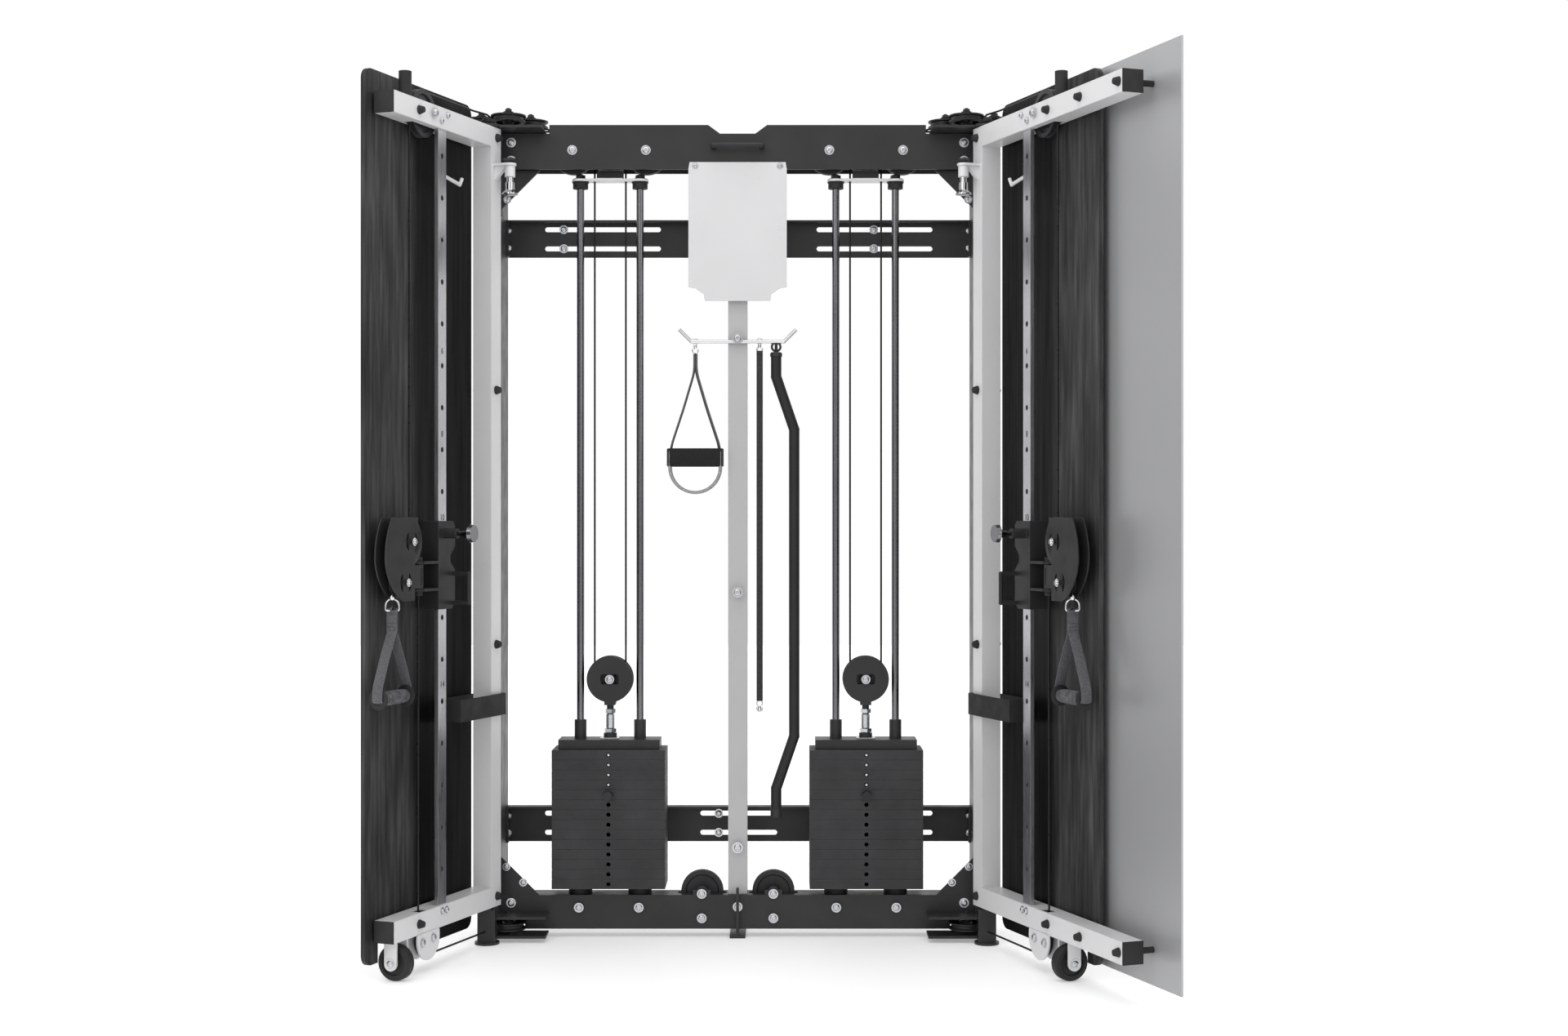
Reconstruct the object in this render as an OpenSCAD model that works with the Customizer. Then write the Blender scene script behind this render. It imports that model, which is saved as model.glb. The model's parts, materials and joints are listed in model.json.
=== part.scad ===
// Wall-standing functional trainer: a weight frame with two stacks, and two wings that fold
// in front of it. +X is to the right, +Y towards the wall (the wall is the plane Y = 0), Z is up.

/* [Frame] */
// Half of the distance between the two wing hinges
hinge_x = 626; // [620:1:640]
// Distance of the wing hinges from the wall
hinge_y = 215; // [212:1:225]
// Height of the weight frame's top beam
beam_top = 2067; // [2064:1:2075]
// Thickness of the bent frame plate
sheet = 5; // [4:0.5:6]

/* [Wings] */
// Angle of each open wing from straight ahead
open_angle = 20; // [0:1:25]
// Side of the square wing tube
tube = 50.8; // [50:0.1:51]
// Wall of the square wing tube
wall = 3; // [2.5:0.5:4]
// Length of the left wing from its hinge
left_len = 493; // [485:1:500]
// Length of the right wing, which also carries the mirror
right_len = 731; // [725:1:735]
// Underside of the bottom wing tube
wing_low = 95; // [94:1:97]
// Top of the top wing tube
wing_high = 2044; // [2043:0.5:2045]
// Height of the wood panels
panel_h = 2052; // [2000:1:2060]
// Width of each wood panel
panel_w = 500; // [480:1:505]
// Width of the mirror
mirror_w = 414; // [380:1:420]

/* [Carriages] */
// Distance of the height track from the hinge
track_t = 262; // [258:1:264]
// Spacing of the height holes
hole_pitch = 100; // [100:1:100]
// Height of the hole that the pop pin is set at
pin_z = 1030; // [1030:100:1030]

/* [Weight stacks] */
// Number of weight plates in each stack
plate_count = 14; // [12:1:14]
// Number of plates above the selector pin
picked = 5; // [3:1:8]
// Thickness of one plate with its gap
plate_pitch = 25.2; // [25:0.1:25.4]
// Width of a plate
plate_w = 288; // [270:1:290]
// Depth of a plate
plate_d = 120; // [110:1:122]
// Distance between a stack's two guide rods
rod_gap = 152.4; // [150:0.1:155]

/* [Hidden] */
$fn = 48;

half = tube / 2;
slack = 0.3;
running = 0.1;
// Frame planes and levels
frame_x = hinge_x - 24;
rod_y = -98;
beam_front = rod_y - 40;
beam_back = rod_y + 33;
beam_low = 1954;
end_drop = 22;
end_x = 479;
notch_top = 75;
notch_bottom = 45;
base_low = 22;
base_high = 108;
web_front = -170;
flange_w = 45;
gusset = 97;
upright_top = 2045;
upright_low = 8;
stack_x = 327;
stack_low = 126;
stack_front = rod_y - plate_d / 2;
plate_t = plate_pitch - slack;
rod_r = 9.5;
rod_top = 1945;
rod_plate_z = 1928;
stack_top = stack_low + plate_count * plate_pitch;
lift_low = stack_low + (plate_count - picked) * plate_pitch;
head_t = 24;
float_z = 655;
float_r = 43;
cable_r = 2.5;
big_r = 57;
mid_r = 44.5;
small_r = 38;
// The centre of a cable lies this far inside a pulley's rim
seat = 3.2;
axle_r = 6;
beam_pulley_z = 2003;
beam_pulley_x = float_r - seat + big_r - seat;
low_pulley_x = 91;
low_pulley_z = 112;
// Corner sheaves at the hinges
sheave_a = [-580, -160];
sheave_b = [-533, -80];
sheave_c = [-656, -105];
top_sheave_z = 2077.5;
low_sheave_z = 35.7;
hinge_plate_z = 2046.5;
pin_r = 10;
index_z = 1958;
// The lock plate runs on past the middle of each of its holes by this angle
lock_past = 14;
lock_r = 64;
lock_pin_r = 7;
// Wing levels and pulleys, in the wing's own frame: x along the wing, y to its inner side
top_tube_z = wing_high - tube;
top_pulley = [314, -8, 2024];
low_pulley = [316.7, 10, 77];
panel_q = half + 6.6;
panel_t = 12;
panel_z = 44;
mirror_q = 60;
mirror_t = 5;
mirror_start = 420;
track_w = 38;
track_q = 10;
track_t2 = 10;
hole_r = 6;
standoffs = [537, 715];
bumpers = [-5, 379];
caster_t = 440;
caster_r = 42;
// Carriage and swivel
car_low = pin_z - 180;
car_high = pin_z + 30;
car_in = 27;
car_out = -17;
car_near = 213;
car_far = 292;
pivot = [358, 10];
lug_t = 6;
lug_low = pin_z - 135;
lug_high = pin_z - 71;
anchor = [368, -8];
up_c = [pivot.x + big_r - seat, pin_z - 18];
low_c = [438, pin_z - 112];
cheek_in = 12;
cheek_t = 3;
hang_t = low_c.x + small_r - seat + 2;
grip_z = pin_z - 374;
grip_len = 116;

// Box between two corners
module block(lo, hi) translate(lo) cube(hi - lo);

// Upright cylinder between two heights
module post_z(x, y, z0, z1, r) translate([x, y, z0]) cylinder(r = r, h = z1 - z0);

// Cylinder along Y
module bar_y(x, z, y0, y1, r) translate([x, y0, z]) rotate([-90, 0, 0]) cylinder(r = r, h = y1 - y0);

// Cylinder along X
module bar_x(y, z, x0, x1, r) translate([x0, y, z]) rotate([0, 90, 0]) cylinder(r = r, h = x1 - x0);

// Outline drawn in X and Z, extruded from one Y to another
module slab_y(y0, y1) translate([0, y1, 0]) rotate([90, 0, 0]) linear_extrude(y1 - y0) children();

module both() {
    children();
    mirror([1, 0, 0]) children();
}

module at_left_wing() translate([-hinge_x, -hinge_y, 0]) rotate([0, 0, -90 - open_angle]) children();

module at_right_wing() mirror([1, 0, 0]) at_left_wing() children();

module at_left_stack() translate([-stack_x, 0, 0]) children();

module at_right_stack() translate([stack_x, 0, 0]) children();

// Grooved pulley around Z, with a thinned web
module pulley(r, bore) rotate_extrude() polygon([
    [bore, -11], [14, -11], [16, -4], [r - 14, -4], [r - 11, -9], [r, -9], [r, -5.5],
    [r - 6, -3], [r - 6, 3], [r, 5.5], [r, 9], [r - 11, 9], [r - 14, 4], [16, 4], [14, 11],
    [bore, 11]
]);

module pulley_y(x, z, y, r, bore) translate([x, y, z]) rotate([90, 0, 0]) pulley(r, bore);

// Quarter or half turn of cable round a pulley whose axle lies along Y
module wrap_y(x, z, y, r, start, sweep) translate([x, y, z]) rotate([90, 0, 0])
    rotate([0, 0, start]) rotate_extrude(angle = sweep) translate([r, 0]) circle(r = cable_r, $fn = 16);

// Frame --------------------------------------------------------------

module beam_outline() polygon([
    [-frame_x, beam_low], [frame_x, beam_low], [frame_x, beam_top - end_drop],
    [end_x, beam_top - end_drop], [end_x, beam_top], [notch_top, beam_top],
    [notch_bottom, beam_top - end_drop], [-notch_bottom, beam_top - end_drop],
    [-notch_top, beam_top], [-end_x, beam_top], [-end_x, beam_top - end_drop],
    [-frame_x, beam_top - end_drop]
]);

module top_beam() color("#3a3a3c") difference() {
    slab_y(beam_front, beam_back) beam_outline();
    slab_y(beam_front + sheet, beam_back - sheet) translate([0, -sheet]) beam_outline();
    both() for (side = [-1, 1])
        bar_y(stack_x + side * beam_pulley_x, beam_pulley_z, beam_front - 1, beam_back + 1, axle_r);
    both() bar_y(low_pulley_x - 31, 2010, beam_front - 1, beam_front + sheet + 1, 4);
}

foot_w = 7;
foot_flat = 20;

// Room for the bottom corner sheave
module sheave_room(z0) post_z(sheave_a.x, sheave_a.y, z0, low_sheave_z + 13, mid_r + 3);

// Foot welded under the middle of the bottom beam: a floor strap back to the wall, turned up in front
module centre_foot() {
    block([-foot_flat, beam_front - 14, 0], [foot_flat, 0, foot_w]);
    block([-foot_w / 2, beam_front - 14, 0], [foot_w / 2, beam_front, base_low + 105]);
    block([-foot_w / 2, beam_front, foot_w], [foot_w / 2, beam_back, base_low]);
}

module bottom_beam() color("#343436") difference() {
    union() {
        centre_foot();
        block([-frame_x, beam_front, base_low], [frame_x, beam_back, base_high]);
        both() slab_y(beam_front, beam_front + sheet) {
            translate([low_pulley_x - 22, base_high - 1]) square([44, 14]);
            translate([low_pulley_x, base_high + 8]) circle(r = 14);
        }
    }
    block([-frame_x - 1, beam_front + sheet, base_low - 1], [frame_x + 1, beam_back - sheet, base_high - sheet]);
    both() {
        block([low_pulley_x - 62, rod_y - 13, base_high - 6], [low_pulley_x + 62, rod_y + 13, base_high + 1]);
        bar_y(low_pulley_x, low_pulley_z, beam_front - 1, rod_y + 15, axle_r);
        for (side = [-1, 1])
            post_z(stack_x + side * rod_gap / 2, rod_y, base_high - 6, base_high + 1, rod_r);
    }
    block([-25, rod_y - 25, base_high - 6], [25, rod_y + 25, base_high + 1]);
    both() sheave_room(base_low - 1);
}

module gusset_plate(y, z, up) slab_y(y, y + sheet)
    polygon([[-frame_x, z], [-frame_x + gusset, z], [-frame_x, z + up * gusset]]);

// Curved lock plate that the wing's plunger enters when the wing is open or closed
module index_plate() translate([-hinge_x, -hinge_y, index_z]) difference() {
    rotate([0, 0, -open_angle - lock_past]) rotate_extrude(angle = 90 + open_angle + 2 * lock_past)
        translate([lock_r - 14, 0]) square([28, 6]);
    // Cut flat where the closed wing's panel passes
    block([-lock_r, -lock_r - 30, -1], [lock_r + 30, -panel_q + slack, 7]);
    for (turn = [-open_angle, 90]) rotate([0, 0, turn]) post_z(lock_r, 0, -1, 7, lock_pin_r + 0.5);
}

module one_upright() {
    difference() {
        block([-frame_x - sheet, web_front, upright_low], [-frame_x, 0, upright_top]);
        block([-frame_x - sheet - 1, web_front - 1, 1835], [-frame_x + 1, beam_front + 19, index_z - 1]);
        sheave_room(low_sheave_z - 13);
    }
    block([-frame_x - flange_w, -sheet, upright_low], [-frame_x, 0, upright_top]);
    gusset_plate(beam_front + 20, beam_low - slack, -1);
    gusset_plate(beam_front, base_high + slack, 1);
    difference() {
        index_plate();
        block([-frame_x, beam_front - slack, index_z - 1], [-frame_x + 60, 0, index_z + 7]);
    }
}

module frame_uprights() color("#2c2c2e") both() one_upright();

cross_z = [224, 1746];
cross_h = 94;
slot_r = 6.5;
slot_rows = [23, 73];
side_slots = [203, 505];
mid_slot = 100;

// One wall crossmember: a face against the wall, a shelf along its top and a bolted tab at each end
module crossmember(z, middle) difference() {
    union() {
        block([-frame_x, -sheet, z], [frame_x, 0, z + cross_h]);
        block([-frame_x, -32, z + cross_h - sheet], [frame_x, 0, z + cross_h]);
        both() block([frame_x - sheet, -32, z], [frame_x, 0, z + cross_h]);
    }
    for (row = slot_rows) {
        both() slot_cut(side_slots[0], side_slots[1], z + row);
        if (middle) slot_cut(-mid_slot, mid_slot, z + row);
    }
}

// Slot through the face, built from two bores and a block so that its ends stay true arcs
module slot_cut(x0, x1, z) {
    bar_y(x0 + slot_r, z, -sheet - 1, 1, slot_r);
    bar_y(x1 - slot_r, z, -sheet - 1, 1, slot_r);
    block([x0 + slot_r, -sheet - 1, z - slot_r], [x1 - slot_r, 1, z + slot_r]);
}

module crossmembers() color("#343436") {
    crossmember(cross_z[0], true);
    crossmember(cross_z[1], false);
}

post_w = 49;
post_bolts = [229, 878, 1524];

module centre_post() color("#c4c4c6") difference() {
    block([-post_w / 2, rod_y - post_w / 2, base_high - 6], [post_w / 2, rod_y + post_w / 2, beam_low + 70]);
    block([-post_w / 2 + wall, rod_y - post_w / 2 + wall, 0], [post_w / 2 - wall, rod_y + post_w / 2 - wall, beam_top]);
    for (z = post_bolts) bar_y(0, z, rod_y - post_w, rod_y, 5);
}

bar_z = 1516;
bar_front = rod_y - post_w / 2 - 7;

// Accessory bar across the post, with upturned ends
module storage_bar() color("#d0d0d2") {
    difference() {
        bar_x(bar_front, bar_z, -118, 118, 5);
        bar_y(0, bar_z + 8, bar_front - 20, bar_front + 20, 5.4);
    }
    both() translate([118, bar_front, bar_z]) {
        sphere(r = 5 + slack);
        rotate([0, 45, 0]) cylinder(r = 5, h = 44);
    }
}

placard_y = beam_front - 2.5;

// Blank sheet-steel cover that hangs from the beam over the post
module placard() color("#e9e9ea") difference() {
    slab_y(placard_y, placard_y + 2) polygon([
        [-122, 1972], [122, 1972], [125, 1955], [125, 1654], [108, 1651], [86, 1636], [83, 1619],
        [-83, 1619], [-86, 1636], [-108, 1651], [-125, 1654], [-125, 1955]
    ]);
    both() bar_y(108, 1963, placard_y - 1, placard_y + 3, 4.2);
}

handle_half = 62;
handle_reach = 30;

// Pull handle on the front of the top beam
module grab_handle() color("#1d1d1f") {
    both() bar_y(handle_half, 2010, beam_front - handle_reach, beam_front, 6.5);
    bar_x(beam_front - handle_reach, 2010, -handle_half, handle_half, 6.5);
    both() translate([handle_half, beam_front - handle_reach, 2010]) sphere(r = 6.5 + slack);
}

// Weight stacks ------------------------------------------------------

module guide_rods() color("#8f9193") both() for (side = [-1, 1])
    post_z(stack_x + side * rod_gap / 2, rod_y, base_high - 5.5, rod_top, rod_r);

module rod_top_plates() color("#c9cacc") both() translate([stack_x, 0, 0]) {
    difference() {
        union() {
            block([-rod_gap / 2, rod_y - 19, rod_plate_z], [rod_gap / 2, rod_y + 19, rod_plate_z + 6]);
            for (side = [-1, 1]) post_z(side * rod_gap / 2, rod_y, rod_plate_z, rod_plate_z + 6, 22);
        }
        for (side = [-1, 1]) {
            post_z(side * rod_gap / 2, rod_y, rod_plate_z - 1, rod_plate_z + 7, rod_r);
            post_z(side * 39.8, rod_y, rod_plate_z - 1, rod_plate_z + 7, 5);
        }
    }
    for (side = [-1, 1]) difference() {
        post_z(side * rod_gap / 2, rod_y, rod_plate_z - 17, rod_plate_z, 18);
        post_z(side * rod_gap / 2, rod_y, rod_plate_z - 18, rod_plate_z + 1, rod_r);
    }
    block([-32, rod_y - 19, rod_plate_z + 6], [32, rod_y + 19, beam_pulley_z - big_r]);
    block([-32, rod_y + 10, beam_pulley_z - big_r], [32, rod_y + 19, 2030]);
}

module stack_bumpers() color("#1b1b1d") both() for (side = [-1, 1]) difference() {
    post_z(stack_x + side * rod_gap / 2, rod_y, base_high, stack_low, 30);
    post_z(stack_x + side * rod_gap / 2, rod_y, base_high - 1, stack_low + 1, rod_r);
}

// One weight plate with its rod holes, centre hole and selector hole
module weight_plate(z) difference() {
    block([-plate_w / 2, stack_front, z], [plate_w / 2, stack_front + plate_d, z + plate_t]);
    for (side = [-1, 1]) post_z(side * rod_gap / 2, rod_y, z - 1, z + plate_pitch, rod_r + 2);
    post_z(0, rod_y, z - 1, z + plate_pitch, 13.5);
    bar_y(0, z + plate_t / 2, stack_front - 1, rod_y, 5.6);
}

module base_plates() color("#3c3c3e") both() translate([stack_x, 0, 0])
    for (i = [0 : plate_count - picked - 1]) weight_plate(stack_low + i * plate_pitch);

module lift_plates() color("#3c3c3e")
    for (i = [plate_count - picked : plate_count - 1]) weight_plate(stack_low + i * plate_pitch);

head_low = stack_top;
head_w = 258;
head_d = 86;
collar_h = 48;
yoke_half = 20;
guard_r = 59;

// Head plate, selector rod, rod collars and the yoke of the floating pulley
module stack_head() color("#2b2b2d") {
    difference() {
        union() {
            block([-head_w / 2, rod_y - head_d / 2, head_low], [head_w / 2, rod_y + head_d / 2, head_low + head_t]);
            for (side = [-1, 1]) post_z(side * rod_gap / 2, rod_y, head_low, head_low + head_t + collar_h, 15.5);
        }
        for (side = [-1, 1]) post_z(side * rod_gap / 2, rod_y, head_low - 1, head_low + 100, rod_r + running);
    }
    difference() {
        post_z(0, rod_y, lift_low + slack, head_low, 12.7);
        for (i = [0 : picked - 1])
            bar_y(0, lift_low + i * plate_pitch + plate_t / 2, rod_y - 20, rod_y + 20, 5.6);
    }
    post_z(0, rod_y, head_low + head_t, head_low + head_t + 14, 17);
    post_z(0, rod_y, head_low + head_t + 14, float_z - 62, 9);
    block([-14, rod_y - yoke_half, float_z - 66], [14, rod_y + yoke_half, float_z - 60]);
    for (y = [-yoke_half, yoke_half - 6]) difference() {
        union() {
            block([-14, rod_y + y, float_z - 66], [14, rod_y + y + 6, float_z]);
            bar_y(0, float_z, rod_y + y, rod_y + y + 6, guard_r);
        }
        for (side = [-1, 1]) slab_y(rod_y + y - 1, rod_y + y + 7) intersection() {
            difference() {
                translate([0, float_z]) circle(r = 24);
                translate([0, float_z]) circle(r = 11);
            }
            translate([side * 20, float_z]) square([22, 26], center = true);
        }
    }
    bar_y(0, float_z, rod_y - yoke_half - 5, rod_y + yoke_half + 5, axle_r);
}

module float_pulley() color("#202022") pulley_y(0, float_z, rod_y, float_r, axle_r + running);

pin_level = lift_low + plate_t / 2;

// Selector pin: a steel pin with a round knob
module selector_pin() color("#19191b") {
    bar_y(0, pin_level, stack_front - 4, rod_y + 12, 5.5);
    bar_y(0, pin_level, stack_front - 30, stack_front - 2, 11.5);
}

// Two cable runs that shorten as the head rises
module lift_cables() color("#121213") for (side = [-1, 1])
    post_z(side * (float_r - seat), rod_y, float_z, beam_pulley_z, cable_r);

// Hinges and corner sheaves ------------------------------------------

module sheave_axle(at, z0, z1) post_z(at.x, at.y, z0, z1, axle_r);

module one_hinge() {
    // Top hinge plate, its pin and the sheave axles
    post_z(-hinge_x, -hinge_y, hinge_plate_z, hinge_plate_z + 6, 30);
    block([-frame_x - 52, -hinge_y, hinge_plate_z], [-frame_x + 112, -34, hinge_plate_z + 6]);
    post_z(-hinge_x, -hinge_y, 2022, hinge_plate_z + 12, pin_r);
    for (at = [sheave_a, sheave_b, sheave_c]) {
        sheave_axle(at, hinge_plate_z + 6, top_sheave_z + 20);
        post_z(at.x, at.y, hinge_plate_z + 6, top_sheave_z - 12, 12);
        post_z(at.x, at.y, top_sheave_z + 12, top_sheave_z + 17, 10);
    }
    // Foot, bottom pin and the two sheave plates
    post_z(-hinge_x, -hinge_y, 0, 6, 31);
    block([-hinge_x - 22, -hinge_y - 18, 6], [-hinge_x + 22, -hinge_y + 18, wing_low - 7]);
    post_z(-hinge_x, -hinge_y, wing_low - 7, wing_low - slack, 17);
    post_z(-hinge_x, -hinge_y, wing_low - 2, wing_low + 22, pin_r);
    for (z = [12, 60]) difference() {
        block([-frame_x - 30, -hinge_y, z], [-frame_x + 122, -34, z + 6]);
        block([-frame_x - sheet - slack, web_front - slack, z - 1], [-frame_x + slack, 0, z + 7]);
        block([-frame_x, beam_front - slack, z - 1], [-frame_x + 200, 0, z + 7]);
    }
    sheave_axle(sheave_a, 6, low_sheave_z + 34);
}

module hinge_brackets() color("#29292b") both() one_hinge();

module frame_pulleys() color("#232325") both() {
    for (side = [-1, 1])
        pulley_y(stack_x + side * beam_pulley_x, beam_pulley_z, rod_y, big_r, axle_r + running);
    pulley_y(low_pulley_x, low_pulley_z, rod_y, 54, axle_r + running);
    for (at = [sheave_a, sheave_b, sheave_c]) translate([at.x, at.y, top_sheave_z]) pulley(mid_r, axle_r);
    translate([sheave_a.x, sheave_a.y, low_sheave_z]) pulley(mid_r, axle_r);
}

bolt_r = 5;
head_r = 9;

// Button-head bolt along Y with its head at the front
module bolt_y(x, z, front, depth) {
    bar_y(x, z, front - 5, front, head_r);
    bar_y(x, z, front, front + depth, bolt_r - 0.1);
}

module frame_bolts() color("#9a9c9f") {
    both() for (side = [-1, 1]) bar_y(stack_x + side * beam_pulley_x, beam_pulley_z, beam_front, beam_back, axle_r - 0.1);
    both() bar_y(low_pulley_x, low_pulley_z, beam_front - 6, rod_y + 14, axle_r - 0.1);
    both() for (side = [-1, 1]) bar_y(stack_x + side * rod_gap / 2, 77, beam_front - 6, beam_front, head_r);
    both() bar_y(low_pulley_x, 50, beam_front - 6, beam_front, head_r);
    for (z = post_bolts) bolt_y(0, z, rod_y - post_w / 2 - 14, 16);
}

frame_run_z = beam_pulley_z + big_r - seat;

// Cables held inside the frame: over the beam pulleys and along the bottom beam
module frame_cables() color("#121213") both() {
    for (side = [-1, 1])
        wrap_y(stack_x + side * beam_pulley_x, beam_pulley_z, rod_y, big_r - seat, side > 0 ? 90 : 0, 90);
    bar_x(rod_y, frame_run_z, stack_x + beam_pulley_x, 520, cable_r);
    bar_x(rod_y, frame_run_z, notch_top + 7, stack_x - beam_pulley_x, cable_r);
    bar_x(rod_y, low_pulley_z - 54 + seat, low_pulley_x, 500, cable_r);
    wrap_y(low_pulley_x, low_pulley_z, rod_y, 54 - seat, 90, 180);
}

// Wings, in the wing's own frame -------------------------------------

module tube_x(z, len) block([-half, -half, z], [len, half, z + tube]);

module bore_x(z, len) block([-half + wall, -half + wall, z + wall], [len + 1, half - wall, z + tube - wall]);

fork_w = 32;
fork_half = 21;
wheel_half = 15;

// Caster fork: two straps with round lower ends and the axle between them
module fork() {
    for (x = [caster_t - fork_half - 6, caster_t + fork_half]) {
        block([x, -fork_w / 2, caster_r], [x + 6, fork_w / 2, wing_low + 1]);
        bar_x(0, caster_r, x, x + 6, fork_w / 2);
    }
    bar_x(0, caster_r, caster_t - fork_half - 9, caster_t + fork_half + 9, axle_r);
}

// Pulley bracket under the bottom tube: two round-ended plates
module low_bracket() for (y = [low_pulley.y - 17, low_pulley.y + 13]) slab_y(y, y + 4) intersection() {
    translate([338, wing_low - 14]) circle(r = 52);
    translate([284, wing_low - 66]) square([108, 67]);
}

// Accessory hook welded under the top tube
module tube_hook() {
    hook_r = 4.5;
    post_z(236, 0, 1893, top_tube_z + 1, hook_r);
    translate([236, 0, 1893]) sphere(r = hook_r + slack);
    translate([236, 0, 1893]) rotate([0, -97, 0]) cylinder(r = hook_r, h = 96);
    translate([141, 0, 1881]) sphere(r = hook_r + slack);
    translate([141, 0, 1881]) rotate([0, -35, 0]) cylinder(r = hook_r, h = 20);
}

lock_low = 1918;
lock_plate_z = 1946;

module wing_frame(len, extra) color("#cfcfd1") {
    difference() {
        union() {
            difference() {
                union() {
                    tube_x(wing_low, len);
                    tube_x(top_tube_z, len);
                    block([-half, -half, wing_low], [half, half, wing_high]);
                }
                bore_x(wing_low, len);
                bore_x(top_tube_z, len);
                block([-half + wall, -half + wall, wing_low + wall], [half - wall, half - wall, wing_high - wall]);
            }
            // Lock bracket with the plunger's sleeve
            block([-16, half, lock_plate_z], [16, lock_r, lock_plate_z + 6]);
            post_z(0, lock_r, lock_plate_z, lock_plate_z + 6, 16);
            post_z(0, lock_r, lock_low, lock_plate_z, 13);
            slab_x(-8, 8) polygon([[half, lock_plate_z - 34], [half, lock_plate_z], [half + 30, lock_plate_z]]);
        }
        post_z(0, 0, wing_low - 1, wing_low + wall + 1, pin_r + running);
        post_z(0, 0, wing_high - wall - 1, wing_high + 1, pin_r + running);
        block([top_pulley.x - 62, -21, top_tube_z - 1], [top_pulley.x + 62, 5, wing_high + 1]);
        block([low_pulley.x - 48, -3, wing_low - 1], [low_pulley.x + 48, 22, wing_low + wall + 1]);
        block([pivot.x - 26, -3, wing_low + tube - wall - 1], [pivot.x + 12, 20, wing_low + tube + 1]);
        post_z(0, lock_r, lock_low - 1, lock_plate_z + 7, 8 + running);
        for (x = bumpers) for (z = [wing_low + half, top_tube_z + half])
            bar_y(x, z, half - wall - 1, half + 1, 4.1);
        for (x = extra) for (z = [wing_low + half, top_tube_z + half])
            bar_y(x, z, -half - 1, half + 1, 4.1);
    }
    bar_y(top_pulley.x, top_pulley.z, -half - 4, half + 6, axle_r);
    bar_y(low_pulley.x, low_pulley.z, low_pulley.y - 20, low_pulley.y + 20, axle_r);
    low_bracket();
    fork();
    tube_hook();
}

// Outline drawn in Y and Z, extruded from one X to another
module slab_x(x0, x1) translate([x0, 0, 0]) rotate([90, 0, 90]) linear_extrude(x1 - x0) children();

belt_z = [574, 628];
belt_end = 205;
belt_out = 38;
belt_t = 2.4;

// Rubber parts: end caps, cone bumpers, top knob, panel spacers and the tie belt round the upright
module wing_trim(len, extra) color("#232325") {
    for (z = [wing_low, top_tube_z]) {
        block([len, -half, z], [len + 3, half, z + tube]);
        block([len - 12, -half + wall + slack, z + wall + slack], [len, half - wall - slack, z + tube - wall - slack]);
    }
    for (x = bumpers) for (z = [wing_low + half, top_tube_z + half]) translate([x, half, z]) rotate([-90, 0, 0]) {
        cylinder(r1 = 11, r2 = 7, h = 13);
        translate([0, 0, -wall]) cylinder(r = 4, h = wall);
    }
    for (x = extra) for (z = [wing_low + half, top_tube_z + half]) {
        translate([x, half, z]) rotate([-90, 0, 0]) cylinder(r1 = 11, r2 = 7, h = 13);
        bar_y(x, z, -half, half, 4);
        bar_y(x, z, -mirror_q + slack, -half, 7);
    }
    for (x = [70, 440]) for (z = [wing_low + half, top_tube_z + half]) bar_y(x, z, -panel_q, -half, 9);
    post_z(400, 0, wing_high, wing_high + 62, 15);
    difference() {
        block([-half - belt_t, -half - belt_t, belt_z[0]], [belt_end, belt_out, belt_z[1]]);
        block([-half - slack / 2, -half - slack / 2, belt_z[0] - 1], [belt_end - belt_t, belt_out - belt_t, belt_z[1] + 1]);
    }
}

panel_round = 26;

// Wood panel with round corners and a cut-out over the caster wheel
module wood_panel() color("#3f3f41") slab_y(-panel_q - panel_t, -panel_q - slack) difference() {
    translate([22, panel_z]) square([panel_w, panel_h]);
    translate([caster_t - 27, panel_z - 1]) square([54, 49]);
    for (x = [22, 22 + panel_w]) for (z = [panel_z, panel_z + panel_h]) panel_corner(x, z);
}

// Removes a square corner and leaves a rounded one
module panel_corner(x, z) {
    inx = x > 200 ? -1 : 1;
    inz = z > 1000 ? -1 : 1;
    difference() {
        translate([x - panel_round, z - panel_round]) square(2 * panel_round);
        translate([x + inx * panel_round, z + inz * panel_round]) circle(r = panel_round);
        translate([x + inx * panel_round - (inx > 0 ? 0 : 99), z - 50]) square([99, 100]);
        translate([x - 50, z + inz * panel_round - (inz > 0 ? 0 : 99)]) square([100, 99]);
    }
}

module mirror_sheet() color("#b9bcc0")
    block([mirror_start, -mirror_q - mirror_t, panel_z - 2], [mirror_start + mirror_w, -mirror_q, panel_z + panel_h + 4]);

module track() color("#a9abae") difference() {
    block([track_t - track_w / 2, track_q, wing_low + tube], [track_t + track_w / 2, track_q + track_t2, top_tube_z]);
    for (z = [pin_z - 8 * hole_pitch : hole_pitch : top_tube_z - 40])
        bar_y(track_t, z, track_q - 1, track_q + track_t2 + 1, hole_r + 0.5);
}

module wing_pulleys() color("#1f1f21") {
    pulley_y(top_pulley.x, top_pulley.z, top_pulley.y, big_r, axle_r + running);
    pulley_y(low_pulley.x, low_pulley.z, low_pulley.y, mid_r, axle_r + running);
}

module caster_wheel() color("#1c1c1e") translate([caster_t, 0, caster_r]) rotate([0, 90, 0]) rotate_extrude() polygon([
    [axle_r + running, -19], [14, -19], [16, -11], [27, -11], [29, -wheel_half], [38, -wheel_half],
    [caster_r, -9], [caster_r, 9], [38, wheel_half], [29, wheel_half], [27, 11], [16, 11], [14, 19],
    [axle_r + running, 19]
]);

// Spring plunger of the wing lock, drawn down
module lock_plunger() color("#b9bbbe") translate([0, lock_r, 0]) rotate_extrude() polygon([
    [0, 1874], [20, 1874], [20, 1877], [11, 1886], [11, lock_low - 14], [8, lock_low - 14],
    [8, lock_plate_z - 6], [lock_pin_r, lock_plate_z - 6], [lock_pin_r, beam_low - 1], [0, beam_low - 1]
]);

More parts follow.
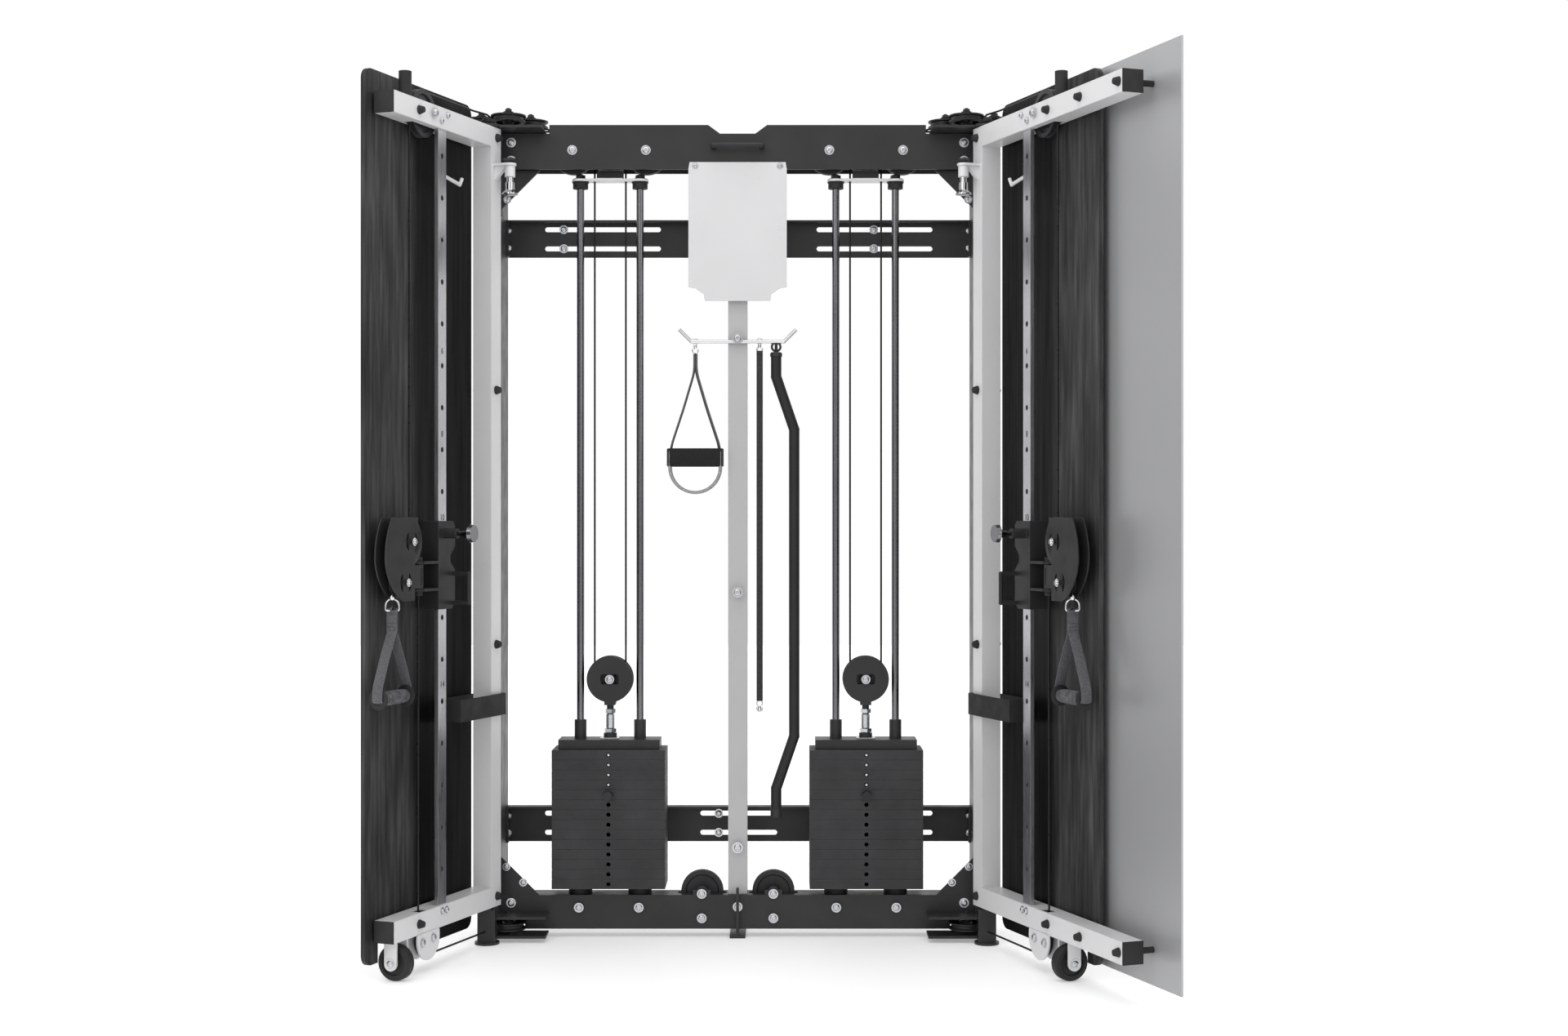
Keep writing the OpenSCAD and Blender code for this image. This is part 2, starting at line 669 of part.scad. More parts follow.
run_z = [low_pulley.z - mid_r + seat, top_pulley.z + big_r - seat];

// The wing's own cable: up and down the pivot line, round both pulleys and back to the hinge
module wing_cable() color("#121213") {
    post_z(anchor.x, anchor.y, lug_high + 24, top_pulley.z, cable_r);
    wrap_y(top_pulley.x, top_pulley.z, top_pulley.y, big_r - seat, -90, 90);
    bar_x(top_pulley.y, run_z[1], 34, top_pulley.x, cable_r);
    post_z(pivot.x, pivot.y, low_pulley.z, up_c.y, cable_r);
    wrap_y(low_pulley.x, low_pulley.z, low_pulley.y, mid_r - seat, 0, 90);
    bar_x(low_pulley.y, run_z[0], 40, low_pulley.x, cable_r);
}

// Carriages ----------------------------------------------------------

module lug(z) difference() {
    union() {
        block([car_far - 4, -17, z], [pivot.x, car_in, z + lug_t]);
        post_z(pivot.x, pivot.y - 5, z, z + lug_t, 20);
        post_z(anchor.x, anchor.y, z, z + lug_t, 7);
    }
    post_z(pivot.x, pivot.y, z - 1, z + lug_t + 1, 7);
    post_z(anchor.x, anchor.y, z - 1, z + lug_t + 1, cable_r + 0.6);
}

// Inner face plate of the carriage: wide at the knob and at the handle
module face_outline() polygon([
    [car_far, car_low], [car_near + 16, car_low], [car_near, car_low + 14], [car_near, car_low + 92],
    [car_near + 22, car_low + 112], [car_near + 22, car_low + 128], [car_near, car_low + 150],
    [car_near, car_high - 10], [car_near + 10, car_high], [car_far, car_high]
]);

module carriage() color("#2e2e30") difference() {
    union() {
        slab_y(car_in - 4, car_in) face_outline();
        block([car_far - 4, car_out, car_low], [car_far, car_in, car_high]);
        block([car_near + 24, car_out, car_low], [car_far, car_out + 4, car_high]);
        for (z = [car_low, car_high - 20]) {
            block([track_t - 26, track_q - 4, z], [track_t - track_w / 2 - slack, car_in, z + 20]);
            block([track_t + track_w / 2 + slack, car_out, z], [car_far, car_in, z + 20]);
            block([track_t - 26, car_out, z], [track_t + 24, track_q - slack, z + 20]);
        }
        lug(lug_low);
        lug(lug_high);
        // Pop pin barrel
        bar_y(track_t, pin_z, car_in - 1, 62, 12);
        // Bar handle
        for (z = [car_low + 14, car_low + 84]) bar_y(228, z, car_in - 1, 72, 5);
        post_z(228, 72, car_low + 14, car_low + 84, 5);
        for (z = [car_low + 14, car_low + 84]) translate([228, 72, z]) sphere(r = 5 + slack);
        // Pivot sleeve stubs and the cable anchor
        difference() {
            post_z(anchor.x, anchor.y, lug_high + lug_t, lug_high + 26, 5.5);
            post_z(anchor.x, anchor.y, lug_high, lug_high + 30, cable_r + 0.6);
        }
    }
    bar_y(track_t, pin_z, track_q + track_t2, 80, 6.1);
}

module pop_pin() color("#a5a7aa") {
    bar_y(track_t, pin_z, track_q + track_t2 + 1, 84, 6);
    translate([track_t, 76, pin_z]) rotate([-90, 0, 0]) cylinder(r1 = 8, r2 = 11, h = 20);
    translate([track_t, 96, pin_z]) rotate([-90, 0, 0]) cylinder(r1 = 22, r2 = 20, h = 10);
}

// Outline of a swivel cheek in the wing's x and z
module cheek_outline() difference() {
    intersection() {
        translate([pivot.x + 27, pin_z - 155]) square([144, 193]);
        translate([up_c.x - 46, pin_z - 55]) circle(r = 162);
        translate([up_c.x - 6, pin_z - 40]) circle(r = 124);
    }
    translate([pivot.x + 20, pin_z - 170]) square([20, 145]);
    translate([pivot.x + 22, pin_z - 28]) circle(r = 18);
}

module slotted_hub(c, y) for (side = [-1, 1]) slab_y(y - 1, y + cheek_t + 1) intersection() {
    difference() {
        translate(c) circle(r = 26);
        translate(c) circle(r = 13);
    }
    translate([c.x + side * 20, c.y]) square([14, 44], center = true);
}

module swivel() color("#3a3a3d") {
    for (y = [pivot.y - cheek_in - cheek_t, pivot.y + cheek_in]) difference() {
        union() {
            slab_y(y, y + cheek_t) cheek_outline();
            block([pivot.x + 16, y, lug_low + lug_t + 2], [pivot.x + 60, y + cheek_t, lug_high - 2]);
        }
        slotted_hub(up_c, y);
        slotted_hub(low_c, y);
        for (c = [up_c, low_c]) bar_y(c.x, c.y, y - 1, y + cheek_t + 1, axle_r);
    }
    for (c = [up_c, low_c]) bar_y(c.x, c.y, pivot.y - cheek_in - cheek_t - 6, pivot.y + cheek_in + cheek_t + 6, axle_r);
    difference() {
        union() {
            post_z(pivot.x, pivot.y, lug_low + lug_t + slack, lug_high - slack, 12);
            for (z = [lug_low + lug_t + 2, lug_high - 8])
                block([pivot.x, pivot.y - cheek_in, z], [pivot.x + 34, pivot.y + cheek_in, z + 6]);
            post_z(pivot.x, pivot.y, lug_low - 5, lug_high + lug_t + 5, 6.9);
            for (z = [lug_low - 10, lug_high + lug_t + slack]) post_z(pivot.x, pivot.y, z, z + 9.7, 10);
        }
        post_z(pivot.x, pivot.y, lug_low - 20, lug_high + 40, cable_r + slack);
    }
}

module upper_pulley() color("#202022") pulley_y(up_c.x, up_c.y, pivot.y, big_r, axle_r + running);

module lower_pulley() color("#202022") pulley_y(low_c.x, low_c.y, pivot.y, small_r, axle_r + running);

ring_z = pin_z - 164;
ring_r = 12;
ring_wire = 2.4;
grip_y = pivot.y;

// Hand grip with its end discs and the ring above it
module handle() color("#4a4a4d") {
    bar_x(grip_y, grip_z, hang_t - grip_len / 2, hang_t + grip_len / 2, 14);
    for (side = [-1, 1]) bar_x(grip_y, grip_z, hang_t + side * (grip_len / 2 + 3) - 3, hang_t + side * (grip_len / 2 + 3) + 3, 23);
    translate([hang_t, grip_y, ring_z]) rotate([90, 0, 0]) rotate_extrude() translate([ring_r, 0]) circle(r = ring_wire, $fn = 16);
    post_z(hang_t, grip_y, ring_z + ring_r + 2, ring_z + ring_r + 12, 7);
}

strap_w = 26;
strap_top = ring_z - ring_r - ring_wire - slack;
strap_fork = ring_z - 62;
strap_out = grip_len / 2 + 6.3;
strap_t = 3;

// Webbing of the hand grip: a neck below the ring, and a leg to the outside of each end disc
module handle_strap() color("#6d6d70") slab_y(grip_y - strap_w / 2, grip_y + strap_w / 2) translate([hang_t, 0]) polygon([
    [-strap_t, strap_top], [strap_t, strap_top], [strap_t, strap_fork],
    [strap_out + strap_t, grip_z + 26], [strap_out + strap_t, grip_z - 8],
    [strap_out, grip_z - 8], [strap_out, grip_z + 25], [0, strap_fork - 5],
    [-strap_out, grip_z + 25], [-strap_out, grip_z - 8], [-strap_out - strap_t, grip_z - 8],
    [-strap_out - strap_t, grip_z + 26], [-strap_t, strap_fork]
]);

// Accessories on the storage bar -------------------------------------

stirrup_x = -108;
stirrup_w = 50;
stirrup_r = 70;
stirrup_low = 1196;

// Foot stirrup: webbing loop with a padded band across it
module foot_stirrup() color("#3b3b3d") slab_y(bar_front - stirrup_w / 2, bar_front + stirrup_w / 2) {
    difference() {
        stirrup_outline(0);
        stirrup_outline(4);
    }
    translate([stirrup_x - stirrup_r + 4, stirrup_low - 12]) square([2 * stirrup_r - 8, 3]);
    translate([stirrup_x - 6, 1440]) square([12, bar_z - 1440 - 5 - slack]);
}

module stirrup_outline(inset) hull() {
    translate([stirrup_x, stirrup_low]) circle(r = stirrup_r - inset);
    translate([stirrup_x, 1448]) circle(r = 7 - inset / 2);
}

strap_x = 56;

module extension_strap() color("#2a2a2c") {
    block([strap_x - 10, bar_front - 5, 604], [strap_x + 10, bar_front + 5, 1488]);
    post_z(strap_x, bar_front, 1488, bar_z - 5 - slack, 4);
    post_z(strap_x, bar_front, 578, 604, 4);
}

curl_x = 98;
curl_r = 13.5;
curl_out = 46;

// One straight length of the bent bar between two points in X and Z
module bent(a, b) {
    d = b - a;
    translate([a.x, bar_front, a.y]) rotate([0, 90 - atan2(d.y, d.x), 0]) cylinder(r = curl_r, h = norm(d));
    translate([b.x, bar_front, b.y]) sphere(r = curl_r + slack);
}

curl_points = [
    [curl_x, 1482], [curl_x, 1427], [curl_x + curl_out, 1292], [curl_x + curl_out, 512],
    [curl_x, 378], [curl_x, 318]
];

module curl_bar() color("#252527") {
    for (i = [0 : len(curl_points) - 2]) bent(curl_points[i], curl_points[i + 1]);
    post_z(curl_x, bar_front, 1482, bar_z - 5 - slack, 4);
}

top_beam();
bottom_beam();
frame_uprights();
crossmembers();
centre_post();
storage_bar();
placard();
grab_handle();
guide_rods();
rod_top_plates();
stack_bumpers();
hinge_brackets();
frame_bolts();
base_plates();
frame_cables();
frame_pulleys();
at_left_stack() lift_plates();  // lift_plates_l
at_left_stack() stack_head();  // stack_head_l
at_left_stack() selector_pin();  // selector_pin_l
at_left_stack() float_pulley();  // float_pulley_l
at_left_stack() lift_cables();  // lift_cables_l
at_right_stack() lift_plates();  // lift_plates_r
at_right_stack() stack_head();  // stack_head_r
at_right_stack() selector_pin();  // selector_pin_r
at_right_stack() float_pulley();  // float_pulley_r
at_right_stack() lift_cables();  // lift_cables_r
at_left_wing() wing_frame(left_len, []);  // wing_frame_l
at_left_wing() wing_trim(left_len, []);  // wing_trim_l
at_left_wing() wood_panel();  // wood_panel_l
at_left_wing() track();  // track_l
at_left_wing() wing_pulleys();  // wing_pulleys_l
at_left_wing() caster_wheel();  // caster_wheel_l
at_left_wing() lock_plunger();  // lock_plunger_l
at_left_wing() wing_cable();  // wing_cable_l
at_right_wing() wing_frame(right_len, standoffs);  // wing_frame_r
at_right_wing() wing_trim(right_len, standoffs);  // wing_trim_r
at_right_wing() wood_panel();  // wood_panel_r
at_right_wing() track();  // track_r
at_right_wing() wing_pulleys();  // wing_pulleys_r
at_right_wing() caster_wheel();  // caster_wheel_r
at_right_wing() lock_plunger();  // lock_plunger_r
at_right_wing() wing_cable();  // wing_cable_r
at_right_wing() mirror_sheet();  // mirror
at_left_wing() carriage();  // carriage_l
at_left_wing() pop_pin();  // pop_pin_l
at_left_wing() swivel();  // swivel_l
at_left_wing() upper_pulley();  // upper_pulley_l
at_left_wing() lower_pulley();  // lower_pulley_l
at_left_wing() handle();  // handle_l
at_left_wing() handle_strap();  // handle_strap_l
at_right_wing() carriage();  // carriage_r
at_right_wing() pop_pin();  // pop_pin_r
at_right_wing() swivel();  // swivel_r
at_right_wing() upper_pulley();  // upper_pulley_r
at_right_wing() lower_pulley();  // lower_pulley_r
at_right_wing() handle();  // handle_r
at_right_wing() handle_strap();  // handle_strap_r
foot_stirrup();
extension_strap();
curl_bar();
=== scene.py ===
# Looks of the functional trainer: materials, cables, webbing, grips and fasteners round the fixed frame.
import json
import math

import bmesh
import bpy
from mathutils import Matrix, Vector

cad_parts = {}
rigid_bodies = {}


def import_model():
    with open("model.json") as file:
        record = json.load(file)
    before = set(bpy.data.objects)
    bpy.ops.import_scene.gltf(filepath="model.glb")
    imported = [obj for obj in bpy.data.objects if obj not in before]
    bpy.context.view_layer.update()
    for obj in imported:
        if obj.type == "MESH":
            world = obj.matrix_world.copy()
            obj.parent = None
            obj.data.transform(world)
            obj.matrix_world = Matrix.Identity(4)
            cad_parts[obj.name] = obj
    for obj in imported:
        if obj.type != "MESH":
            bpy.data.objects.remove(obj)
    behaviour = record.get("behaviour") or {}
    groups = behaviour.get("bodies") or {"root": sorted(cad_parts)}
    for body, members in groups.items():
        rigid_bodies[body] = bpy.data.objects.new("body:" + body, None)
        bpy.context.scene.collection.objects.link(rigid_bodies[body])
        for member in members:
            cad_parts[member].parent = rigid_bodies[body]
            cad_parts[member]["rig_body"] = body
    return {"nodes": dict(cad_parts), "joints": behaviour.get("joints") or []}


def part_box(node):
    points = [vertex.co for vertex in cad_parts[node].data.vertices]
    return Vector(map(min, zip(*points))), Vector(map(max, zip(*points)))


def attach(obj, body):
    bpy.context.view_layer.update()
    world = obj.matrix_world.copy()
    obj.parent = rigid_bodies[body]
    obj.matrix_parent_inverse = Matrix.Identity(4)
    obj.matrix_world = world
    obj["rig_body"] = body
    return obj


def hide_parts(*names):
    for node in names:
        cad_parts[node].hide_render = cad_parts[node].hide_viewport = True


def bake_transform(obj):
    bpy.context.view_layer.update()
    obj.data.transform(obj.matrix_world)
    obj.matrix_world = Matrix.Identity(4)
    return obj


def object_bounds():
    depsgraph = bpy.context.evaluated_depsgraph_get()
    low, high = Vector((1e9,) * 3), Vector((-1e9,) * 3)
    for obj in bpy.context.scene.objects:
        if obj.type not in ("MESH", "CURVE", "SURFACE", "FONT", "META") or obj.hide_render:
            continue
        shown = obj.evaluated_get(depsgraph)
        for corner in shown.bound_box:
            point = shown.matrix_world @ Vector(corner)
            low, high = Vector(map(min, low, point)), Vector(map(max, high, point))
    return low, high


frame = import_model()
cad_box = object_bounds()
nodes = frame["nodes"]
joints = {j["name"]: j for j in frame["joints"]}
RIGHT = Vector((1, 0, 0))
BACK = Vector((0, 1, 0))
FRONT = Vector((0, -1, 0))
UP = Vector((0, 0, 1))
MM = 0.001
SIGN = {"l": -1, "r": 1}


# ---------------------------------------------------------------- places, all in millimetres

def middle(node):
    """The centre of a CAD node's box."""
    low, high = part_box(node)
    return (low + high) / 2 / MM


CABLE_R = 2.5  # radius of every cable

# How far a cable's middle runs from the axle of each kind of pulley
BIG_GROOVE = 53.8
MID_GROOVE = 41.3
FLOAT_GROOVE = 39.8
SMALL_GROOVE = 34.8

# Frame: x runs to the right, y to the back and z up from the floor
STACK_X, ROD_Y, FLOAT_Z = (place / MM for place in joints["float_r_spin"]["pos_m"])
HINGE_X, HINGE_Y, _ = (place / MM for place in joints["wing_r_fold"]["pos_m"])
BEAM_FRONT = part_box("top_beam")[0].y / MM
BEAM_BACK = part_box("top_beam")[1].y / MM
BASE_FRONT = BEAM_FRONT - 6  # face of the washers under the bottom beam's bolts
CROSS_FRONT = -5  # face of a crossmember's web
BAR_Y = middle("storage_bar").y
SHEAVES = [(580, -160), (533, -80), (656, -105)]  # on each hinge plate, the cable's own sheave first
TOP_SHEAVE_Z = 2077.5
ROD_GAP = 76.2  # from the middle of a stack to a guide rod
ROD_XS = [sign * (STACK_X + gap) for sign in (-1, 1) for gap in (-ROD_GAP, ROD_GAP)]
BEAM_GAP = FLOAT_GROOVE + BIG_GROOVE  # and to a pulley in the top beam
BEAM_PULLEY_XS = [sign * (STACK_X + gap) for sign in (-1, 1) for gap in (-BEAM_GAP, BEAM_GAP)]
BEAM_PULLEY_Z = 2003
PLATE_PITCH = 25.2
PLATES_ABOVE_PIN = 4

# Wing: t runs from the hinge along the wing, u to its inner side and z up from the floor
HALF_TUBE = 25.4
TOP_U = -8  # plane of the cable that comes from the top
LOW_U = 10  # plane of the cable that comes from below, and of the swivel and the grip
TOP_PULLEY = (314, 2024)  # (t, z) of the pulley in the wing's top tube
LOW_PULLEY = (316.7, 77)
LOW_SHEAVE_Z = LOW_PULLEY[1] - MID_GROOVE  # the frame's low cable runs level to the wing's
UPPER_PULLEY = (411.8, 1012)  # (t, z) of the swivel's pulleys
LOWER_PULLEY = (438, 918)
PIVOT_T = LOW_PULLEY[0] + MID_GROOVE  # the swivel turns about the upright cable
GRIP_T = LOWER_PULLEY[0] + SMALL_GROOVE + 2  # the grip hangs just clear of the lower pulley
RING_Z = 866
GRIP_Z = 656


# ---------------------------------------------------------------- geometry helpers

def mm(x, y, z):
    """A point, or a size, from millimetres to Blender's metres."""
    return Vector((x, y, z)) * MM


class Wing:
    """The frame of one wing at rest, with t, u and z as above."""

    def __init__(self, side):
        self.side = side
        self.origin = Vector(joints[f"wing_{side}_fold"]["pos_m"])
        self.origin.z = 0
        self.t = Vector(joints[f"caster_{side}_spin"]["axis"]).normalized()
        self.u = -Vector(joints[f"pin_{side}_pull"]["axis"]).normalized()
        self.body = f"wing_{side}"

    def at(self, t, u, z):
        """A point of the wing, in Blender's metres."""
        return self.origin + self.t * (t * MM) + self.u * (u * MM) + UP * (z * MM)


def basis(axis):
    """Two directions across an axis, and the axis itself."""
    axis = Vector(axis).normalized()
    side = axis.orthogonal().normalized()
    return side, axis.cross(side), axis


def lathe(bm, profile, at, axis, segments=32):
    """Turns (radius, height) points round an axis that starts at a point."""
    a, b, c = basis(axis)
    rings = []
    for radius, height in profile:
        if radius < 1e-6:
            rings.append([bm.verts.new(at + c * (height * MM))])
            continue
        ring = []
        for k in range(segments):
            turn = 2 * math.pi * k / segments
            spot = a * math.cos(turn) + b * math.sin(turn)
            ring.append(bm.verts.new(at + spot * (radius * MM) + c * (height * MM)))
        rings.append(ring)
    for low, high in zip(rings, rings[1:]):
        for k in range(segments):
            n = (k + 1) % segments
            if len(low) == 1 and len(high) > 1:
                bm.faces.new((low[0], high[n], high[k]))
            elif len(high) == 1 and len(low) > 1:
                bm.faces.new((low[k], low[n], high[0]))
            elif len(low) > 1:
                bm.faces.new((low[k], low[n], high[n], high[k]))


def disc(radius, height):
    """Profile of a plain cylinder or, with few segments, of a prism."""
    return [(0, 0), (radius, 0), (radius, height), (0, height)]


def sweep(bm, path, section, closed=False, normals=None):
    """Carries a closed section of (side, up) points along a path without twist."""
    count = len(path)
    tangents = []
    for i in range(count):
        if closed:
            way = path[(i + 1) % count] - path[i - 1]
        else:
            way = path[min(i + 1, count - 1)] - path[max(i - 1, 0)]
        tangents.append(way.normalized())
    side = normals[0] if normals else tangents[0].orthogonal()
    rings = []
    for i, (spot, way) in enumerate(zip(path, tangents)):
        side = normals[i] if normals else side
        side = (side - way * side.dot(way)).normalized()
        up = way.cross(side)
        rings.append([bm.verts.new(spot + side * (x * MM) + up * (y * MM)) for x, y in section])
    size = len(section)
    pairs = list(zip(rings, rings[1:]))
    if closed:
        pairs.append((rings[-1], rings[0]))
    for low, high in pairs:
        for k in range(size):
            n = (k + 1) % size
            bm.faces.new((low[k], low[n], high[n], high[k]))
    if not closed:
        bm.faces.new(list(reversed(rings[0])))
        bm.faces.new(rings[-1])


def circle(radius, count=12):
    """Section of a wire or a cable."""
    return [(radius * math.cos(2 * math.pi * k / count), radius * math.sin(2 * math.pi * k / count))
            for k in range(count)]


def strip(width, thick):
    """Section of a webbing strap: flat, with rounded edges."""
    w, h = width / 2, thick / 2
    return [(-w, -h * 0.4), (-w + h, -h), (w - h, -h), (w, -h * 0.4),
            (w, h * 0.4), (w - h, h), (-w + h, h), (-w, h * 0.4)]


def rounded(points, radius, steps=6):
    """Replaces each inner corner of a list of points by an arc-like curve."""
    out = [points[0]]
    for before, corner, after in zip(points, points[1:], points[2:]):
        back, ahead = before - corner, after - corner
        reach = min(radius * MM, back.length * 0.48, ahead.length * 0.48)
        start, end = corner + back.normalized() * reach, corner + ahead.normalized() * reach
        for k in range(steps + 1):
            w = k / steps
            out.append(start * (1 - w) ** 2 + corner * 2 * w * (1 - w) + end * w * w)
    out.append(points[-1])
    return out


def arc(centre, a, b, radius, start, end, steps=12):
    """Points on an arc in the plane of a and b, with its angles in degrees."""
    out = []
    for k in range(steps + 1):
        turn = math.radians(start + (end - start) * k / steps)
        out.append(centre + (a * math.cos(turn) + b * math.sin(turn)) * (radius * MM))
    return out


def piece(name, bm, material, body=None, smooth=40):
    """Makes a visible piece from a mesh, with edges over an angle in degrees kept sharp."""
    bmesh.ops.recalc_face_normals(bm, faces=bm.faces)
    mesh = bpy.data.meshes.new(name)
    bm.to_mesh(mesh)
    bm.free()
    for face in mesh.polygons:
        face.use_smooth = True
    mesh.set_sharp_from_angle(angle=math.radians(smooth))
    mesh.materials.append(material)
    obj = bpy.data.objects.new(name, mesh)
    bpy.context.scene.collection.objects.link(obj)
    if body:
        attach(obj, body)
    return obj


# ---------------------------------------------------------------- materials

EVEN_GRAIN = (1, 1, 1)
UPRIGHT_GRAIN = (1, 1, 0.02)  # draws a noise out into streaks that run up and down


class Shader:
    """A Principled material with the few node chains that the finishes share."""

    def __init__(self, name, colour, rough, metal=0.0):
        self.material = bpy.data.materials.new(name)
        self.material.use_nodes = True
        self.tree = self.material.node_tree
        self.bsdf = self.tree.nodes["Principled BSDF"]
        self.colour = (*colour, 1)
        self.bsdf.inputs["Base Color"].default_value = self.colour
        self.bsdf.inputs["Roughness"].default_value = rough
        self.bsdf.inputs["Metallic"].default_value = metal
        if max(colour) < 0.1:  # dark finishes shine less
            self.bsdf.inputs["Specular IOR Level"].default_value = 0.25
        self.rough = rough
        self.coords = self.node("ShaderNodeTexCoord").outputs["Object"]
        self.normal = None

    def node(self, kind, **values):
        """Adds a node. A value sets its property or, where it has none so named, its input."""
        made = self.tree.nodes.new(kind)
        for key, value in values.items():
            if hasattr(made, key):
                setattr(made, key, value)
            else:
                made.inputs[key.replace("_", " ")].default_value = value
        return made

    def link(self, out, into):
        self.tree.links.new(out, into)

    def noise(self, scale, detail=4.0, stretch=EVEN_GRAIN):
        """Noise in the object's own space."""
        mapping = self.node("ShaderNodeMapping", Scale=stretch)
        self.link(self.coords, mapping.inputs["Vector"])
        made = self.node("ShaderNodeTexNoise", Scale=scale, Detail=detail)
        self.link(mapping.outputs["Vector"], made.inputs["Vector"])
        return made.outputs["Fac"]

    def maths(self, operation, first, second):
        """Combines two values. Each is a number or another node's output."""
        made = self.node("ShaderNodeMath", operation=operation)
        for socket, value in zip(made.inputs, (first, second)):
            if isinstance(value, bpy.types.NodeSocket):
                self.link(value, socket)
            else:
                socket.default_value = value
        return made.outputs["Value"]

    def part(self, vector, letter):
        """The X, Y or Z of a vector."""
        made = self.node("ShaderNodeSeparateXYZ")
        self.link(vector, made.inputs["Vector"])
        return made.outputs[letter]

    def mapped(self, value, from_low, from_high, to_low, to_high):
        """Maps one range of a value to another."""
        made = self.node("ShaderNodeMapRange", From_Min=from_low, From_Max=from_high,
                         To_Min=to_low, To_Max=to_high)
        self.link(value, made.inputs["Value"])
        return made.outputs["Result"]

    def ramp(self, value, stops):
        """Colours a value by (place, colour) stops."""
        made = self.node("ShaderNodeValToRGB")
        points = made.color_ramp.elements
        while len(points) < len(stops):
            points.new(0.5)
        for point, (place, colour) in zip(points, stops):
            point.position = place
            point.color = (*colour, 1)
        self.link(value, made.inputs["Fac"])
        return made.outputs["Color"]

    def vary_rough(self, value, amount):
        """Spreads the roughness by an amount to both sides."""
        out = self.mapped(value, 0.3, 0.7, self.rough - amount, self.rough + amount)
        self.link(out, self.bsdf.inputs["Roughness"])

    def vary_colour(self, value, low, high):
        """Shades the base colour between two factors."""
        dark = [c * low for c in self.colour[:3]]
        light = [min(1, c * high) for c in self.colour[:3]]
        out = self.ramp(value, [(0.32, dark), (0.68, light)])
        self.link(out, self.bsdf.inputs["Base Color"])
        return out

    def soft_edges(self, radius):
        """Rounds sharp edges in the shading, as a bent or cast edge is."""
        made = self.node("ShaderNodeBevel", samples=4, Radius=radius)
        self.normal = made.outputs["Normal"]
        self.link(self.normal, self.bsdf.inputs["Normal"])

    def edge_wear(self, colour_out, wear, strength):
        """Shifts the base colour to another along edges, where paint rubs thin or stain gathers."""
        geometry = self.node("ShaderNodeNewGeometry")
        dot = self.node("ShaderNodeVectorMath", operation="DOT_PRODUCT")
        self.link(self.normal, dot.inputs[0])
        self.link(geometry.outputs["Normal"], dot.inputs[1])
        edge = self.mapped(dot.outputs["Value"], 0.995, 0.8, 0, strength)
        mix = self.node("ShaderNodeMix", data_type="RGBA")
        mix.inputs["B"].default_value = (*wear, 1)
        self.link(edge, mix.inputs["Factor"])
        self.link(colour_out, mix.inputs["A"])
        self.link(mix.outputs["Result"], self.bsdf.inputs["Base Color"])

    def bump(self, value, strength, distance):
        """Adds relief on top of any that is there."""
        made = self.node("ShaderNodeBump", Strength=strength, Distance=distance)
        self.link(value, made.inputs["Height"])
        if self.normal:
            self.link(self.normal, made.inputs["Normal"])
        self.normal = made.outputs["Normal"]
        self.link(self.normal, self.bsdf.inputs["Normal"])


def powder_coat(name, colour, rough, wear, edge=0.0014, mottle=0.12):
    """Powder paint on steel: fine orange peel, faint mottling and rubbed edges."""
    look = Shader(name, colour, rough)
    look.soft_edges(edge)
    look.edge_wear(look.vary_colour(look.noise(7, 5), 1 - mottle, 1 + mottle), wear, 0.55)
    look.vary_rough(look.noise(22, 6), 0.07)
    look.bump(look.noise(1400, 2), 0.22, 0.0002)
    return look.material


def polished(name, colour, rough, stretch=EVEN_GRAIN, grain=260):
    """Bare or plated metal with rubbed streaks."""
    look = Shader(name, colour, rough, 1.0)
    look.soft_edges(0.0006)
    look.vary_colour(look.noise(9, 4), 0.9, 1.05)
    look.vary_rough(look.noise(grain, 6, stretch), 0.06)
    look.bump(look.noise(grain * 2, 3, stretch), 0.02, 0.00005)
    return look.material


def cast_iron(name, colour):
    """Cast metal: a coarse skin with its paint rubbed off along the edges."""
    look = Shader(name, colour, 0.55, 0.1)
    look.soft_edges(0.0016)
    look.edge_wear(look.vary_colour(look.noise(11, 6), 0.85, 1.15), (0.2, 0.2, 0.2), 0.5)
    look.vary_rough(look.noise(40, 5), 0.1)
    look.bump(look.noise(800, 4), 0.35, 0.0003)
    return look.material


def moulded(name, colour, rough, grain=900):
    """Moulded rubber or nylon with a fine texture."""
    look = Shader(name, colour, rough)
    look.soft_edges(0.0008)
    look.vary_colour(look.noise(14, 4), 0.8, 1.25)
    look.vary_rough(look.noise(30, 5), 0.08)
    look.bump(look.noise(grain, 3), 0.25, 0.0002)
    return look.material


